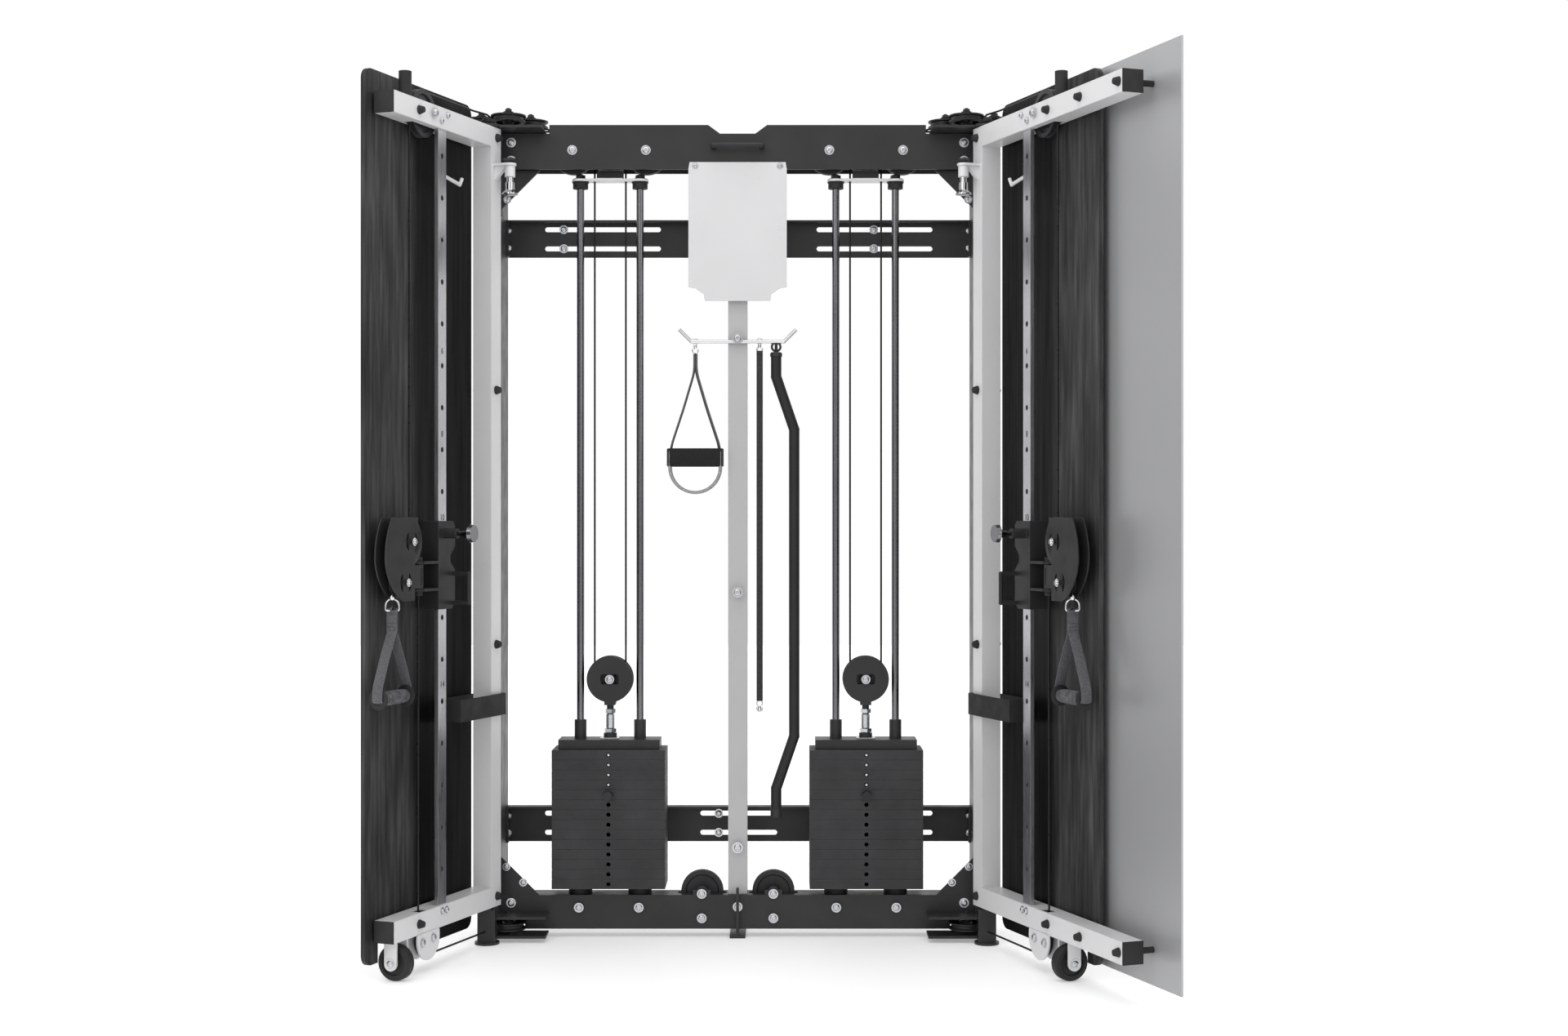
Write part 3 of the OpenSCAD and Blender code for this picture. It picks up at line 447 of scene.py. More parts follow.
def dark_wood():
    """Dark stained wood: long vertical grain, fine pores and broad bands."""
    look = Shader("dark_wood", (0.05, 0.049, 0.048), 0.5)
    look.soft_edges(0.001)
    grain = look.noise(75, 9, (1, 1, 0.07))
    bands = look.noise(8, 4, (1, 1, 0.3))
    tones = look.ramp(look.maths("MULTIPLY", look.maths("ADD", grain, bands), 0.5), [
        (0.36, (0.018, 0.018, 0.018)), (0.46, (0.031, 0.0308, 0.0305)),
        (0.54, (0.048, 0.0475, 0.047)), (0.66, (0.085, 0.0835, 0.082))])
    # The half of each panel next to the hinge is darkened nearly to black, on the inner face only: both
    # inner faces look to the front, to -Y in the object's own space
    hinge_half_dark = look.mapped(look.part(look.coords, "Y"), -0.515, -0.475, 1, 0.12)
    facing = look.part(look.node("ShaderNodeTexCoord").outputs["Normal"], "Y")
    tone = look.maths("MAXIMUM", look.maths("GREATER_THAN", facing, 0), hinge_half_dark)
    shade = look.node("ShaderNodeVectorMath", operation="SCALE")
    look.link(tones, shade.inputs[0])
    look.link(tone, shade.inputs["Scale"])
    look.edge_wear(shade.outputs["Vector"], (0.004, 0.004, 0.004), 1.0)
    look.bsdf.inputs["Specular IOR Level"].default_value = 0.1
    look.vary_rough(look.noise(60, 6, (1, 1, 0.05)), 0.1)
    look.bump(look.noise(170, 8, (1, 1, 0.03)), 0.35, 0.0005)
    return look.material


def mirror_glass():
    """Frosted mirror: an even, soft reflection."""
    look = Shader("mirror_glass", (0.42, 0.424, 0.43), 0.42, 0.5)
    look.vary_rough(look.noise(3, 2), 0.01)
    look.soft_edges(0.001)
    return look.material


def webbing(name, colour):
    """Woven nylon: fine cross ribs with a softer lengthwise thread."""
    look = Shader(name, colour, 0.8)
    look.bsdf.inputs["Sheen Weight"].default_value = 0.25
    look.vary_colour(look.noise(260, 3), 0.75, 1.3)
    weave = look.node("ShaderNodeTexWave", Scale=230.0, Distortion=0.6, Detail=2.0, bands_direction="Z")
    look.link(look.coords, weave.inputs["Vector"])
    look.bump(weave.outputs["Fac"], 0.5, 0.0005)
    cross = look.node("ShaderNodeTexWave", Scale=320.0, Distortion=0.4, bands_direction="DIAGONAL")
    look.link(look.coords, cross.inputs["Vector"])
    look.bump(cross.outputs["Fac"], 0.25, 0.0003)
    return look.material


def patterned_rubber():
    """The grip's rubber: greyer and more worn than the rest."""
    look = Shader("grip_rubber", (0.09, 0.09, 0.094), 0.6)
    look.vary_colour(look.noise(90, 4), 0.6, 1.5)
    look.bump(look.noise(700, 3), 0.3, 0.0003)
    return look.material


BLACK = powder_coat("black_coat", (0.028, 0.028, 0.029), 0.42, (0.09, 0.09, 0.09))
BLACK_PLATE = powder_coat("black_plate", (0.02, 0.02, 0.021), 0.46, (0.12, 0.12, 0.12))
LIGHT = powder_coat("light_paint", (0.66, 0.66, 0.668), 0.36, (0.74, 0.74, 0.74), edge=0.003, mottle=0.02)
POST = powder_coat("post_paint", (0.42, 0.42, 0.425), 0.36, (0.55, 0.55, 0.55), edge=0.003, mottle=0.02)
COVER = powder_coat("cover_paint", (0.6, 0.6, 0.608), 0.34, (0.75, 0.75, 0.75), mottle=0.015)
CHROME = polished("chrome", (0.7, 0.7, 0.71), 0.12)
PLATED_BAR = polished("plated_bar", (0.6, 0.6, 0.62), 0.3, UPRIGHT_GRAIN, grain=420)
ROD_STEEL = polished("rod_steel", (0.2, 0.2, 0.21), 0.14, UPRIGHT_GRAIN, grain=420)
ZINC = polished("zinc", (0.6, 0.61, 0.63), 0.3)
IRON = cast_iron("iron", (0.036, 0.036, 0.038))
NYLON = moulded("black_nylon", (0.022, 0.022, 0.024), 0.38)
RUBBER = moulded("black_rubber", (0.02, 0.02, 0.02), 0.62)
CABLE = moulded("cable_jacket", (0.008, 0.008, 0.009), 0.3, grain=500)
GRIP = patterned_rubber()
WOOD = dark_wood()
GLASS = mirror_glass()
GREY_WEB = webbing("grey_webbing", (0.085, 0.085, 0.091))
BLACK_WEB = webbing("black_webbing", (0.03, 0.03, 0.032))
PAD_WEB = webbing("black_band", (0.008, 0.008, 0.009))
PALE_WEB = webbing("pale_loop", (0.3, 0.3, 0.308))

NODE_LOOKS = {
    "top_beam": BLACK, "bottom_beam": BLACK, "frame_uprights": BLACK, "crossmembers": BLACK,
    "centre_post": POST, "storage_bar": CHROME, "placard": COVER, "grab_handle": NYLON,
    "guide_rods": ROD_STEEL, "rod_top_plates": LIGHT, "stack_bumpers": RUBBER,
    "hinge_brackets": BLACK, "frame_bolts": ZINC, "base_plates": IRON, "frame_cables": CABLE,
    "frame_pulleys": NYLON, "mirror": GLASS, "curl_bar": BLACK_PLATE, "foot_stirrup": BLACK_WEB,
    "extension_strap": BLACK_WEB,
}
SIDE_LOOKS = {
    "lift_plates": IRON, "stack_head": BLACK, "selector_pin": NYLON, "float_pulley": NYLON,
    "lift_cables": CABLE, "wing_frame": LIGHT, "wing_trim": RUBBER, "wood_panel": WOOD,
    "track": PLATED_BAR, "wing_pulleys": NYLON, "caster_wheel": RUBBER, "lock_plunger": CHROME,
    "wing_cable": CABLE, "carriage": BLACK_PLATE, "pop_pin": ROD_STEEL, "swivel": BLACK_PLATE,
    "upper_pulley": NYLON, "lower_pulley": NYLON, "handle": RUBBER, "handle_strap": GREY_WEB,
}
for side in SIGN:
    NODE_LOOKS.update({f"{name}_{side}": look for name, look in SIDE_LOOKS.items()})
for name, obj in nodes.items():
    obj.data.materials.clear()
    obj.data.materials.append(NODE_LOOKS[name])


# ---------------------------------------------------------------- camera, light and floor

AIM = (0, -0.3, 1.0)  # the middle of the machine, in metres as the rest of this section


def add(name, data):
    """Puts a new object in the scene."""
    obj = bpy.data.objects.new(name, data)
    bpy.context.scene.collection.objects.link(obj)
    return obj


def camera():
    """Long lens at chest height, level and square to the wall."""
    data = bpy.data.cameras.new("camera")
    data.sensor_width = 36
    data.lens = 47.64
    data.clip_end = 60
    obj = add("camera", data)
    obj.location = (0.118, -5.415, 1.067)
    obj.rotation_euler = (math.radians(90), 0, 0)
    bpy.context.scene.camera = obj


def softbox(name, at, size, power, towards=AIM):
    data = bpy.data.lights.new(name, "AREA")
    data.shape = "RECTANGLE"
    data.size, data.size_y = size
    data.energy = power
    obj = add(name, data)
    obj.location = at
    obj.rotation_euler = (Vector(towards) - Vector(at)).to_track_quat("-Z", "Y").to_euler()


def plane(name, half, material):
    """A flat square of the set, which isn't part of the machine."""
    bm = bmesh.new()
    bmesh.ops.create_grid(bm, x_segments=1, y_segments=1, size=half)
    mesh = bpy.data.meshes.new(name)
    bm.to_mesh(mesh)
    bm.free()
    mesh.materials.append(material)
    return add(name, mesh)


def dark_card(name, x, y, material):
    """A dark card out of shot, which gives bright metal its dark edges. The camera doesn't see it."""
    obj = plane(name, 0.5, material)
    obj.scale = (0.8, 3.4, 1)
    obj.location = (x, y, 1.5)
    obj.rotation_euler = Vector((-x, -0.6 - y, 0)).to_track_quat("Z", "Y").to_euler()
    obj.visible_camera = False
    obj.visible_diffuse = False
    obj.visible_shadow = False


def pale_floor():
    """White floor that also glows a little, so that it runs into the background."""
    look = Shader("pale_floor", (0.93, 0.93, 0.93), 0.55)
    look.vary_rough(look.noise(2, 3), 0.05)
    look.bsdf.inputs["Emission Color"].default_value = (1, 1, 1, 1)
    look.bsdf.inputs["Emission Strength"].default_value = 0.28
    obj = plane("floor", 12, look.material)
    obj.location.z = cad_box[0][2]


def white_world():
    world = bpy.data.worlds.new("studio")
    world.use_nodes = True
    background = world.node_tree.nodes["Background"]
    background.inputs["Color"].default_value = (1, 1, 1, 1)
    background.inputs["Strength"].default_value = 1.0
    bpy.context.scene.world = world


def studio():
    pale_floor()
    white_world()
    card = Shader("card", (0.02, 0.02, 0.02), 0.8).material
    for word, sign in (("left", -1), ("right", 1)):
        dark_card(f"card_{word}", sign * 2.6, -3.9, card)
        dark_card(f"edge_{word}", sign * 0.9, -6.4, card)
    softbox("key", (-2.6, -4.4, 3.4), (2.2, 2.2), 34, towards=(0, -0.3, 1.1))
    softbox("fill", (3.2, -4.0, 2.4), (2.4, 2.0), 16)
    softbox("top", (0, -1.6, 4.2), (3.0, 1.6), 22)


# ---------------------------------------------------------------- fasteners

# Half outline of a button head, as shares of its radius and height, down into its socket
BUTTON = [(0, 0), (1, 0), (1, 0.3), (0.94, 0.6), (0.78, 0.86), (0.52, 1),
          (0.44, 1), (0.42, 0.45), (0, 0.45)]
WASHER = 1.45  # a washer's radius, as a share of its bolt's or nut's
BOLT_WASHER_T = 1.4
NUT_WASHER_T = 1.6


def button_head(bm, at, axis, radius=8.5, height=5.0):
    """Round socket-head bolt on a washer."""
    lathe(bm, disc(radius * WASHER, BOLT_WASHER_T), at, axis)
    profile = [(r * radius, h * height) for r, h in BUTTON]
    lathe(bm, profile, at + axis * (BOLT_WASHER_T * MM), axis, 36)


def hex_nut(bm, at, axis, radius=9.0, height=8.0):
    """Hexagon nut on a washer, with the end of its bolt standing out of it."""
    lathe(bm, disc(radius * WASHER, NUT_WASHER_T), at, axis)
    edge = radius * 0.96
    nut = [(0, 0), (edge, 0), (radius, 0.8), (radius, height - 0.8), (edge, height), (0, height)]
    lathe(bm, nut, at + axis * (NUT_WASHER_T * MM), axis, 6)
    lathe(bm, disc(radius * 0.5, height + 4), at, axis, 20)


def frame_fasteners():
    """Zinc bolts on the frame's front, and the nuts behind the top beam."""
    bm = bmesh.new()
    for x in BEAM_PULLEY_XS:
        button_head(bm, mm(x, BEAM_FRONT, BEAM_PULLEY_Z), FRONT)
        hex_nut(bm, mm(x, BEAM_BACK, BEAM_PULLEY_Z), BACK)
    for x in ROD_XS:
        button_head(bm, mm(x, BASE_FRONT, 77), FRONT)
    for sign in (-1, 1):
        for z in (50, 112):  # bolts of the pulleys in the bottom beam
            button_head(bm, mm(sign * 91, BASE_FRONT, z), FRONT)
        for z in (42, 88, 1976, 2022):  # beam ends
            button_head(bm, mm(sign * 576, BEAM_FRONT, z), FRONT)
        for z in (249, 293, 1771, 1815):  # crossmember ends
            button_head(bm, mm(sign * 597, -16, z), RIGHT * -sign, 7.5)
        for x, y, z in ((545, BEAM_FRONT, 140), (588, BEAM_FRONT, 180), (588, BEAM_FRONT + 20, 1880)):
            button_head(bm, mm(sign * x, y, z), FRONT, 7)  # gussets
        button_head(bm, mm(sign * 108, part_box("placard")[0].y / MM, 1963), FRONT, 5.5, 4)
    for x, z in ((-456, 1819), (-456, 1769), (352, 1819), (352, 1769), (-52, 297), (-52, 247)):
        button_head(bm, mm(x, CROSS_FRONT, z), FRONT, 8)  # wall screws in the crossmembers' slots
    for z in (229, 878, 1524):  # centre post
        button_head(bm, mm(0, BEAM_FRONT - 3.5, z), FRONT, 9.5, 6)
    button_head(bm, mm(0, BEAM_FRONT, 78), FRONT)
    piece("frame_fasteners", bm, ZINC, "root")


def frame_nuts():
    """Black nuts on the guide rods, the sheaves and the hinges, and the bolts of the hinge plates."""
    bm = bmesh.new()
    for x in ROD_XS:
        hex_nut(bm, mm(x, ROD_Y, 1934), UP, 13, 9)
    for sign in (-1, 1):
        for x, y in SHEAVES:
            hex_nut(bm, mm(sign * x, y, 2094), UP, 9, 7)
        hex_nut(bm, mm(sign * HINGE_X, HINGE_Y, 2058), UP, 13, 9)
        for x in (505, 640):
            button_head(bm, mm(sign * x, -60, 2052.5), UP, 8)
    piece("frame_nuts", bm, BLACK_PLATE, "root")


def rod_collars():
    """Rubber collars at the top of the guide rods, and a block between each pair of them."""
    bm = bmesh.new()
    # The first and last point meet, which closes the ring
    collar = [(10, 0), (19.5, 0), (19.5, 14), (21.5, 15), (21.5, 17.6), (10, 17.6), (10, 0)]
    for x in ROD_XS:
        lathe(bm, collar, mm(x, ROD_Y, 1910), UP, 40)
    for sign in (-1, 1):
        made = bmesh.ops.create_cube(bm, size=1.0)
        bmesh.ops.scale(bm, verts=made["verts"], vec=mm(66, 41, 17))
        bmesh.ops.translate(bm, verts=made["verts"], vec=mm(sign * STACK_X, ROD_Y, 1944))
    bmesh.ops.remove_doubles(bm, verts=bm.verts, dist=1e-6)
    piece("rod_collars", bm, RUBBER, "root")


def wing_fasteners(wing):
    """Bolts of the wing's pulleys, track, caster and wood panel."""
    bm = bmesh.new()
    button_head(bm, wing.at(TOP_PULLEY[0], HALF_TUBE + 6, TOP_PULLEY[1]), wing.u)
    hex_nut(bm, wing.at(TOP_PULLEY[0], -HALF_TUBE - 4, TOP_PULLEY[1]), -wing.u)
    for t, z in ((246, 2030), (276, 2012), (252, 132), (272, 132)):  # track ends
        button_head(bm, wing.at(t, HALF_TUBE, z), wing.u, 6)
    for t, z in (LOW_PULLEY, (367, 74)):
        button_head(bm, wing.at(t, LOW_U + 17, z), wing.u, 8)
        hex_nut(bm, wing.at(t, LOW_U - 17, z), -wing.u, 8, 6)
    button_head(bm, wing.at(467, 0, 42), wing.t, 9, 5)  # caster axle
    hex_nut(bm, wing.at(413, 0, 42), -wing.t, 9, 7)
    for t in (70, 440):  # wood panel
        for z in (120, 2019):
            button_head(bm, wing.at(t, -44, z), -wing.u, 9, 4)
    piece(f"wing_fasteners_{wing.side}", bm, ZINC, wing.body)


def upright_knobs(wing):
    """Small rubber buffers on both sides of the wing's upright, shorter on its outer side."""
    bm = bmesh.new()
    cone = [(0, 0), (11, 0), (11, 2), (8, 11), (6.5, 13), (0, 13)]
    short_cone = [(r * 0.7, h * 0.9) for r, h in cone]
    for z in (1387, 751):
        lathe(bm, cone, wing.at(0, HALF_TUBE, z), wing.u, 28)
        lathe(bm, short_cone, wing.at(0, -HALF_TUBE, z), -wing.u, 28)
    piece(f"upright_knobs_{wing.side}", bm, RUBBER, wing.body)


def lift_hardware(side):
    """Turnbuckle and bolt of the floating pulley, and a chrome dot in each plate above the pin."""
    x = SIGN[side] * STACK_X
    bm = bmesh.new()
    lathe(bm, disc(34, 3), mm(x, ROD_Y, 503), UP, 4)
    lathe(bm, disc(16, 9), mm(x, ROD_Y, 519), UP, 6)
    lathe(bm, [(9, 0), (11.5, 0), (11.5, 34), (9, 36)], mm(x, ROD_Y, 530), UP, 32)
    lathe(bm, [(9, 0), (14, 0), (14, 10), (9, 10)], mm(x, ROD_Y, 568), UP, 6)
    dot = [(0, 0), (4.4, 0), (4.2, 1.5), (3, 3), (0, 3.6)]
    for plate in range(1, PLATES_ABOVE_PIN + 1):
        z = middle(f"selector_pin_{side}").z + plate * PLATE_PITCH
        lathe(bm, dot, mm(x, -153, z), FRONT, 20)
    button_head(bm, mm(x, ROD_Y - 25, FLOAT_Z), FRONT, 8, 5)
    hex_nut(bm, mm(x, ROD_Y + 25, FLOAT_Z), BACK, 8, 6)
    piece(f"lift_hardware_{side}", bm, ZINC, f"lift_{side}")


def selector_knob(side):
    """The pin's knob, in front of the plates."""
    bm = bmesh.new()
    knob = [(0, 0), (9.5, 0), (11.6, 1.5), (12, 4), (12, 20), (11, 23), (8, 25), (0, 25.5)]
    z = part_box(f"selector_pin_{side}")[0].z / MM + 11.5
    lathe(bm, knob, mm(SIGN[side] * STACK_X, -161, z), FRONT, 40)
    piece(f"selector_knob_{side}", bm, NYLON, f"selector_{side}")


def bevelled(node, width):
    """A copy of a CAD node with its long sharp edges rounded, shown in its place."""
    source = nodes[node]
    bm = bmesh.new()
    bm.from_mesh(source.data)
    bmesh.ops.remove_doubles(bm, verts=bm.verts, dist=1e-5)
    bmesh.ops.dissolve_limit(bm, angle_limit=math.radians(1), verts=bm.verts, edges=bm.edges)
    sharp, shortest = math.radians(60), 0.02
    edges = [edge for edge in bm.edges if len(edge.link_faces) == 2
             and edge.calc_face_angle(0) > sharp and edge.calc_length() > shortest]
    bmesh.ops.bevel(bm, geom=edges, offset=width, segments=2, affect="EDGES", profile=0.6)
    copy = piece(f"{node}_finished", bm, NODE_LOOKS[node], source["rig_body"], 25)
    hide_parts(node)


def swivel_fasteners(wing):
    """Bolts of the swivel's two pulleys."""
    bm = bmesh.new()
    for t, z in (UPPER_PULLEY, LOWER_PULLEY):
        button_head(bm, wing.at(t, LOW_U + 21, z), wing.u, 6.5, 5)
        hex_nut(bm, wing.at(t, LOW_U - 21, z), -wing.u, 7, 4)
    piece(f"swivel_fasteners_{wing.side}", bm, CHROME, f"swivel_body_{wing.side}")


# ---------------------------------------------------------------- cables

def cable(name, path, body=None):
    """A cable along a path, which rides on one body or is left unattached."""
    bm = bmesh.new()
    sweep(bm, path, circle(CABLE_R))
    return piece(name, bm, CABLE, body)


def stretched_cable(name, path):
    """A straight run of cable between two bodies that move apart."""
    made = cable(name, path)
    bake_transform(made)
    return made


def wing_top_cable(wing):
    """From the hinge over the wing's top pulley, then down to the carriage's anchor."""
    t, z = TOP_PULLEY
    down_t, run_z = t + BIG_GROOVE, z + BIG_GROOVE
    over = arc(wing.at(t, TOP_U, z), wing.t, UP, BIG_GROOVE, 90, 0)
    path = [wing.at(0, 0, run_z), wing.at(60, TOP_U, run_z)] + over + [wing.at(down_t, TOP_U, 1990)]
    made = cable(f"wing_cable_top_{wing.side}", path, wing.body)
    run = [wing.at(down_t, TOP_U, height) for height in (1990, 1500, 983)]
    stretched_cable(f"column_cable_top_{wing.side}", run)
    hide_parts(f"wing_cable_{wing.side}")


def wing_low_cable(wing):
    """From the hinge under the wing's bottom pulley, then up to the carriage's swivel."""
    t, z = LOW_PULLEY
    run_z = z - MID_GROOVE
    under = arc(wing.at(t, LOW_U, z), wing.t, UP, MID_GROOVE, -90, 0)
    path = [wing.at(30, LOW_U, run_z), wing.at(120, LOW_U, run_z)] + under + [wing.at(PIVOT_T, LOW_U, 110)]
    cable(f"wing_cable_low_{wing.side}", path, wing.body)
    run = [wing.at(PIVOT_T, LOW_U, height) for height in (110, 500, 892)]
    stretched_cable(f"column_cable_low_{wing.side}", run)


def swivel_cable(wing):
    """From the pivot over the swivel's upper pulley to the lower one, then down to the grip."""
    upper_t, upper_z = UPPER_PULLEY
    lower_t, lower_z = LOWER_PULLEY
    over = arc(wing.at(upper_t, LOW_U, upper_z), wing.t, UP, BIG_GROOVE, 180, 0, 20)
    past = arc(wing.at(lower_t, LOW_U, lower_z), wing.t, UP, SMALL_GROOVE, 20, 0, 4)
    body = f"swivel_body_{wing.side}"
    cable(f"swivel_cable_{wing.side}", [wing.at(PIVOT_T, LOW_U, 968)] + over + past, body)
    run = [wing.at(GRIP_T - 2, LOW_U, lower_z), wing.at(GRIP_T - 1, LOW_U, 905),
           wing.at(GRIP_T, LOW_U, 889)]
    stretched_cable(f"grip_cable_{wing.side}", run)


def hinge_cables(side):
    """From the beam round the first sheave to the hinge, at the top and at the bottom."""
    sign = SIGN[side]
    x, y = SHEAVES[0]

    def round_sheave(z):
        return arc(mm(sign * x, y, z), BACK, RIGHT * sign, MID_GROOVE, 0, 90)

    path = [mm(sign * 470, ROD_Y, 2056.8), mm(sign * 500, -106, 2066),
            mm(sign * 533, -119.5, TOP_SHEAVE_Z)]
    path += round_sheave(TOP_SHEAVE_Z) + [mm(sign * HINGE_X, HINGE_Y, TOP_SHEAVE_Z + 0.3)]
    cable(f"hinge_cable_top_{side}", path, "root")
    path = [mm(sign * 480, ROD_Y, 61), mm(sign * 520, -112, 46),
            mm(sign * 550, -118.7, LOW_SHEAVE_Z)]
    path += round_sheave(LOW_SHEAVE_Z) + [mm(sign * 623.5, -196, LOW_SHEAVE_Z)]
    cable(f"hinge_cable_low_{side}", path, "root")


def stack_cables(side):
    """The two runs from the floating pulley up to the top beam, and the turn under the pulley."""
    x = SIGN[side] * STACK_X
    for letter, offset in (("a", -FLOAT_GROOVE), ("b", FLOAT_GROOVE)):
        run = [mm(x + offset, ROD_Y, z) for z in (FLOAT_Z, 1300, BEAM_PULLEY_Z)]
        stretched_cable(f"stack_cable_{side}_{letter}", run)
    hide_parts(f"lift_cables_{side}")
    under = arc(mm(x, ROD_Y, FLOAT_Z), RIGHT, UP, FLOAT_GROOVE, -180, 0, 24)
    cable(f"float_cable_{side}", under, f"lift_{side}")


# ---------------------------------------------------------------- hand grips

BAR_HALF = 56  # half the bar between the grip's flanges
STRAP_HALF = 64.5  # half the strap's spread at the bar
FORK_Z = RING_Z - 60  # where the strap's two legs part
NECK_Z = RING_Z - 10  # where the strap turns over in the ring


def on_grip(wing, t, z):
    """A point in the grip's plane, at a distance along the wing from the line it hangs on."""
    return wing.at(GRIP_T + t, LOW_U, z)


def stitch(bm, at, way):
    """One short thread, half of it to each side of a point."""
    sweep(bm, [at - way * MM, at + way * MM], circle(0.4, 6))


def grip_sleeve(wing):
    """Patterned rubber sleeve: crossed ridges round a slightly barrelled tube."""
    bm = bmesh.new()
    length, rings, sides = 2 * BAR_HALF, 140, 72
    ridges_along, zigzags_round, ridge_height = 13, 6, 0.9
    start = on_grip(wing, -BAR_HALF, GRIP_Z)
    loops = []
    for i in range(rings + 1):
        along = i / rings
        barrel = 14.6 + 1.4 * math.sin(math.pi * along)
        near_end = min(1, min(along, 1 - along) * 9)  # the ridges fade out towards both ends
        loop = []
        for k in range(sides):
            turn = 2 * math.pi * k / sides
            zigzag = abs((k / sides * zigzags_round) % 1 - 0.5) * 2
            wave = math.sin(2 * math.pi * (along * ridges_along + zigzag * 1.1))
            lift = ridge_height * max(0.0, min(1.0, wave * 2.2)) * near_end
            spot = (wing.u * math.cos(turn) + UP * math.sin(turn)) * ((barrel + lift) * MM)
            loop.append(bm.verts.new(start + wing.t * (along * length * MM) + spot))
        loops.append(loop)
    for low, high in zip(loops, loops[1:]):
        for k in range(sides):
            n = (k + 1) % sides
            bm.faces.new((low[k], low[n], high[n], high[k]))
    bm.faces.new(loops[0])
    bm.faces.new(loops[-1])
    sleeve = piece(f"grip_sleeve_{wing.side}", bm, GRIP, f"grip_{wing.side}", 70)
    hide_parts(f"handle_{wing.side}")


def grip_flanges(wing):
    """Rounded discs at both ends of the bar."""
    bm = bmesh.new()
    flange = [(0, 0), (13, 0), (20, 0.3), (23.5, 1.6), (24.5, 3.5),
              (23.5, 5.4), (20, 6.4), (13, 6.2), (11, 4), (0, 4)]
    for sign in (-1, 1):
        lathe(bm, flange, on_grip(wing, sign * BAR_HALF, GRIP_Z), wing.t * sign, 48)
    piece(f"grip_flanges_{wing.side}", bm, RUBBER, f"grip_{wing.side}")


def grip_ring(wing):
    """D-shaped ring, with its flat side down, and the cable's stop above it."""
    bm = bmesh.new()
    ring = on_grip(wing, 0, RING_Z)
    flat, radius = 11.5, 15.5
    left, right = RIGHT * (-radius * MM), RIGHT * (radius * MM)
    down = UP * (-flat * MM)
    path = arc(ring, RIGHT, UP, radius, 0, 180, 22)
    path += rounded([ring + left, ring + left + down, ring + right + down, ring + right], 5)[1:-1]
    sweep(bm, path, circle(2.3), closed=True)
    stop = [(0, 0), (4, 0), (6.4, 3), (7, 6), (6.4, 9), (4, 12), (0, 12)]
    lathe(bm, stop, ring + UP * (12.5 * MM), UP)
    piece(f"grip_ring_{wing.side}", bm, CHROME, f"grip_{wing.side}")


def grip_strap(wing):
    """Webbing: a doubled neck through the ring, and two legs to the ends of the bar."""
    bm = bmesh.new()
    webbing_section = strip(26, 2.4)
    neck = [on_grip(wing, 2.6, FORK_Z + 4), on_grip(wing, 2.6, NECK_Z)]
    neck += arc(on_grip(wing, 0, NECK_Z), wing.t, UP, 2.6, 0, 180, 8)
    neck += [on_grip(wing, -2.6, FORK_Z + 4)]
    path = rounded(neck, 2, 3)
    sweep(bm, path, webbing_section, normals=[wing.u] * len(path))
    for sign in (-1, 1):
        leg = [(1.3, FORK_Z + 14), (1.6, FORK_Z), (34, (FORK_Z + GRIP_Z) / 2 + 14),
               (STRAP_HALF, GRIP_Z + 24), (STRAP_HALF + 1, GRIP_Z - 4), (STRAP_HALF - 6, GRIP_Z - 10)]
        path = rounded([on_grip(wing, sign * t, z) for t, z in leg], 12)
        sweep(bm, path, webbing_section, normals=[wing.u] * len(path))
    strap = piece(f"grip_strap_{wing.side}", bm, GREY_WEB, f"grip_{wing.side}")
    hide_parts(f"handle_strap_{wing.side}")


def grip_stitches(wing):
    """Four rows of stitches on each face of the strap's neck."""
    bm = bmesh.new()
    for z in (FORK_Z + 12, FORK_Z + 20, NECK_Z - 6, NECK_Z - 10):
        for face in (-1, 1):
            for k in range(9):
                at = wing.at(GRIP_T + face * 4.1, LOW_U - 10.5 + k * 2.6, z)
                stitch(bm, at, wing.u * 0.9)
    piece(f"grip_stitches_{wing.side}", bm, BLACK_WEB, f"grip_{wing.side}")


def hand_grip(wing):
    """The whole grip that hangs from the swivel."""
    grip_sleeve(wing)
    grip_flanges(wing)
    grip_ring(wing)
    grip_strap(wing)
    grip_stitches(wing)


# ---------------------------------------------------------------- accessories on the storage bar

def snap_hook(bm, top, length):
    """Small spring hook: an eye, a swivel barrel and an oval hook with its gate open a little."""
    eye = top - UP * (7 * MM)
    sweep(bm, arc(eye, RIGHT, UP, 7, 0, 345, 20), circle(1.8, 10), closed=True)
    lathe(bm, [(0, 0), (4, 0), (4.6, 2), (4.6, 8), (3.4, 10), (0, 10)], eye - UP * (8 * MM), -UP, 20)
    low = eye - UP * ((length - 22) * MM)
    path = [eye - UP * (17 * MM)] + arc(low, RIGHT, UP, 7, 90, 390, 22)
    sweep(bm, path, circle(2, 10))


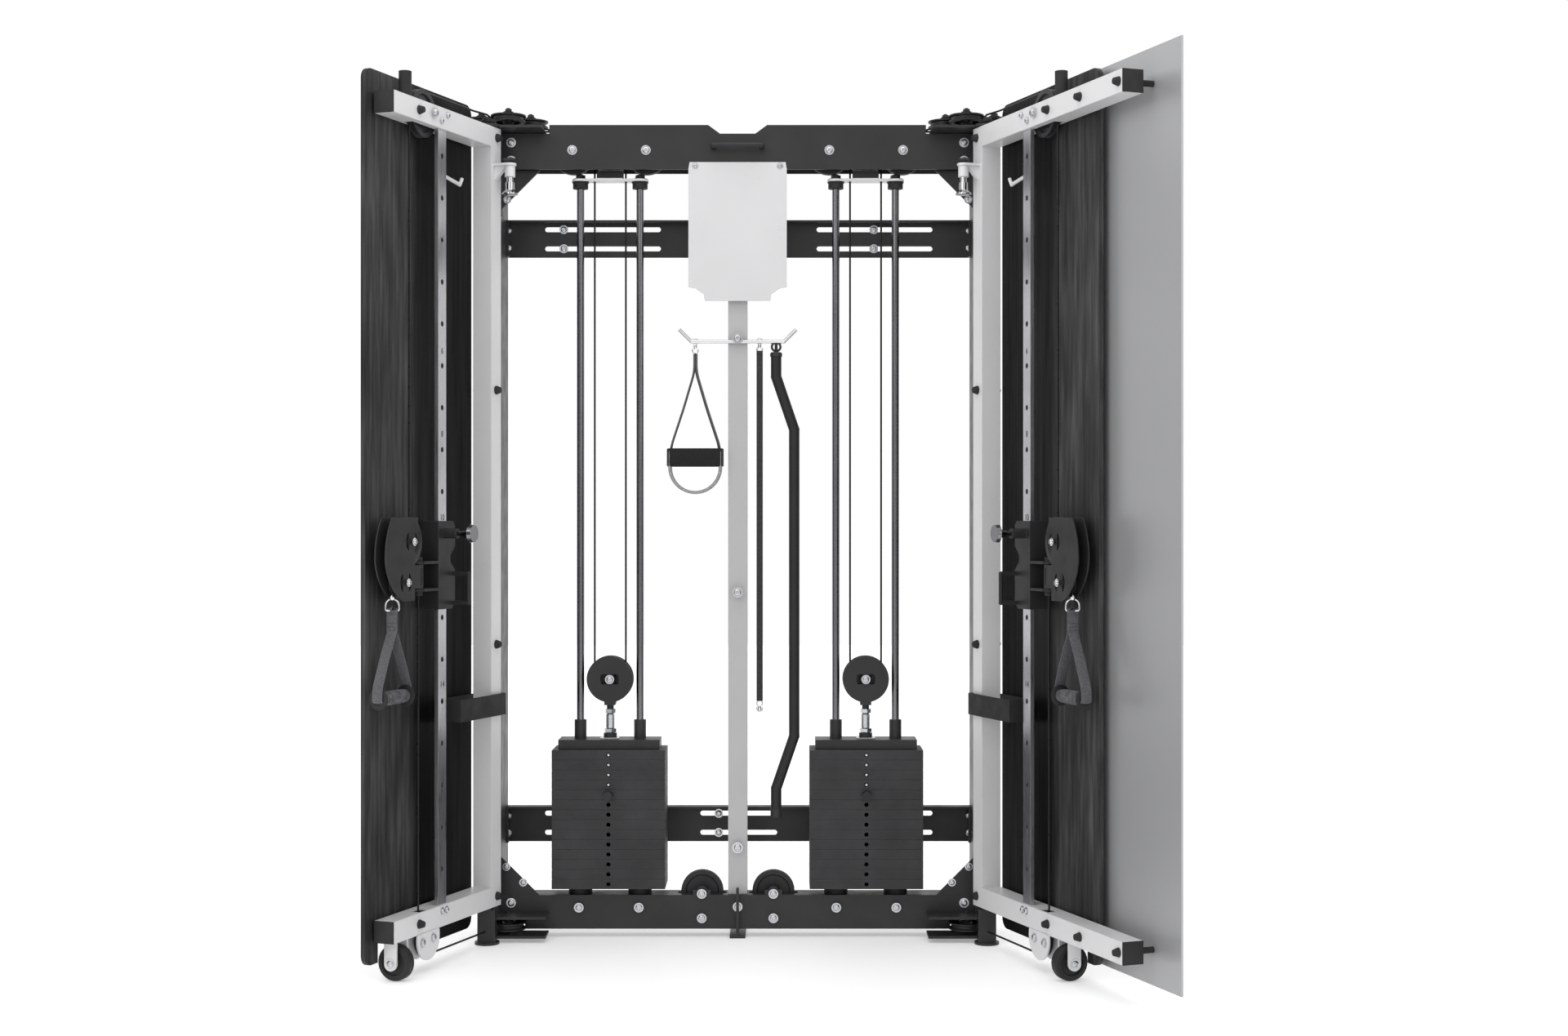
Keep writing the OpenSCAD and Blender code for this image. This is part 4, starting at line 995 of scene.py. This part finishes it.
def foot_stirrup():
    """Foot stirrup: two webbing legs, a half-round loop, a padded band and a hook."""
    x = middle("foot_stirrup").x
    half = 64
    bm = bmesh.new()
    for sign in (-1, 1):
        leg = [(2, 1486), (2, 1440), (30, 1345), (half - 2, 1248), (half, 1200)]
        path = rounded([mm(x + sign * out, BAR_Y, z) for out, z in leg], 20)
        sweep(bm, path, strip(24, 3), normals=[Vector((sign * 0.22, 0.97, 0))] * len(path))
    legs = piece("stirrup_legs", bm, BLACK_WEB, "root")
    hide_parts("foot_stirrup")
    bm = bmesh.new()
    path = [mm(x - half, BAR_Y, 1236)] + arc(mm(x, BAR_Y, 1196), -RIGHT, -UP, half, 0, 180, 30)
    path += [mm(x + half, BAR_Y, 1236)]
    sweep(bm, path, strip(44, 8), normals=[BACK] * len(path))
    piece("stirrup_loop", bm, PALE_WEB, "root")
    stirrup_band(x, half + 6)
    bm = bmesh.new()
    snap_hook(bm, mm(x, BAR_Y, 1524), 46)
    piece("stirrup_hook", bm, CHROME, "root")


def powered(value, power):
    """A number raised to a power, with its sign kept."""
    return math.copysign(abs(value) ** power, value)


def stirrup_band(x, half_width, half_depth=25, count=64):
    """Padded band round the stirrup's legs: a flattened ring with full corners."""
    bm = bmesh.new()
    rim = []
    for k in range(count):
        turn = 2 * math.pi * k / count
        across = powered(math.cos(turn), 0.3) * half_width
        deep = powered(math.sin(turn), 0.6) * half_depth
        rim.append(mm(x + across, BAR_Y + deep, 1221))
    sweep(bm, rim, strip(46, 5), closed=True, normals=[UP] * len(rim))
    band = piece("stirrup_band", bm, PAD_WEB, "root")


def long_strap():
    """Doubled strap with a loop, two rows of stitches and a hook at each end."""
    x = middle("extension_strap").x
    top_z, low_z = 1488, 606
    bm = bmesh.new()
    for offset in (-1.8, 1.8):
        path = [mm(x, BAR_Y + offset, z) for z in (top_z + 2, top_z, 1300, 1000, 800, low_z, low_z - 2)]
        sweep(bm, path, strip(16, 3), normals=[RIGHT] * len(path))
    for z in (top_z, low_z):
        path = arc(mm(x, BAR_Y, z), BACK, UP, 4, -90, 270, 16)[:-1]
        sweep(bm, path, strip(16, 3), closed=True, normals=[RIGHT] * len(path))
    strap = piece("long_strap", bm, BLACK_WEB, "root")
    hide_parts("extension_strap")
    bm = bmesh.new()
    for z in (top_z - 26, top_z - 36, low_z + 34, low_z + 24):
        for k in range(6):
            stitch(bm, mm(x - 6 + k * 2.4, BAR_Y - 3.6, z), RIGHT * 0.8)
    piece("long_strap_stitches", bm, GREY_WEB, "root")
    bm = bmesh.new()
    snap_hook(bm, mm(x, BAR_Y, 1525), 44)
    snap_hook(bm, mm(x, BAR_Y, 602), 36)
    piece("long_strap_hooks", bm, CHROME, "root")


def curl_bar_trim():
    """The link that the curl bar hangs by, and its two end caps."""
    x = 98
    bm = bmesh.new()
    sweep(bm, arc(mm(x, BAR_Y, 1503), RIGHT, UP, 11, 0, 348, 24), circle(3), closed=True)
    lathe(bm, [(0, 0), (15.5, 0), (15.5, 8), (13, 11), (0, 11)], mm(x, BAR_Y, 1478), UP, 40)
    lathe(bm, disc(14.6, 22), mm(x, BAR_Y, 306), UP, 40)
    piece("curl_bar_trim", bm, BLACK, "root")


# ---------------------------------------------------------------- track numbers

def track_numbers(wing):
    """Plain height numbers printed on the track's inner face."""
    right = wing.t * SIGN[wing.side]
    for label, z in (("6", 1465), ("8", 1267), ("10", 1068), ("14", 670)):
        name = f"height_{label}_{wing.side}"
        data = bpy.data.curves.new(name, "FONT")
        data.body = label
        data.size = 0.021
        data.extrude = 0.0001
        data.align_x = data.align_y = "CENTER"
        data.materials.append(NYLON)
        place = Matrix((right, UP, wing.u)).transposed().to_4x4()
        place.translation = wing.at(262, 20.2, z)
        obj = add(name, data)
        obj.matrix_world = place
        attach(obj, wing.body)


# ---------------------------------------------------------------- build

camera()
studio()
frame_fasteners()
frame_nuts()
rod_collars()
for name in ("base_plates", "lift_plates_l", "lift_plates_r"):
    bevelled(name, 0.0016)
for wing in (Wing("l"), Wing("r")):
    upright_knobs(wing)
    lift_hardware(wing.side)
    selector_knob(wing.side)
    wing_fasteners(wing)
    swivel_fasteners(wing)
    wing_top_cable(wing)
    wing_low_cable(wing)
    swivel_cable(wing)
    hinge_cables(wing.side)
    stack_cables(wing.side)
    hand_grip(wing)
    track_numbers(wing)
foot_stirrup()
long_strap()
curl_bar_trim()

view = bpy.context.scene.view_settings
view.view_transform = "Standard"
view.look = "None"
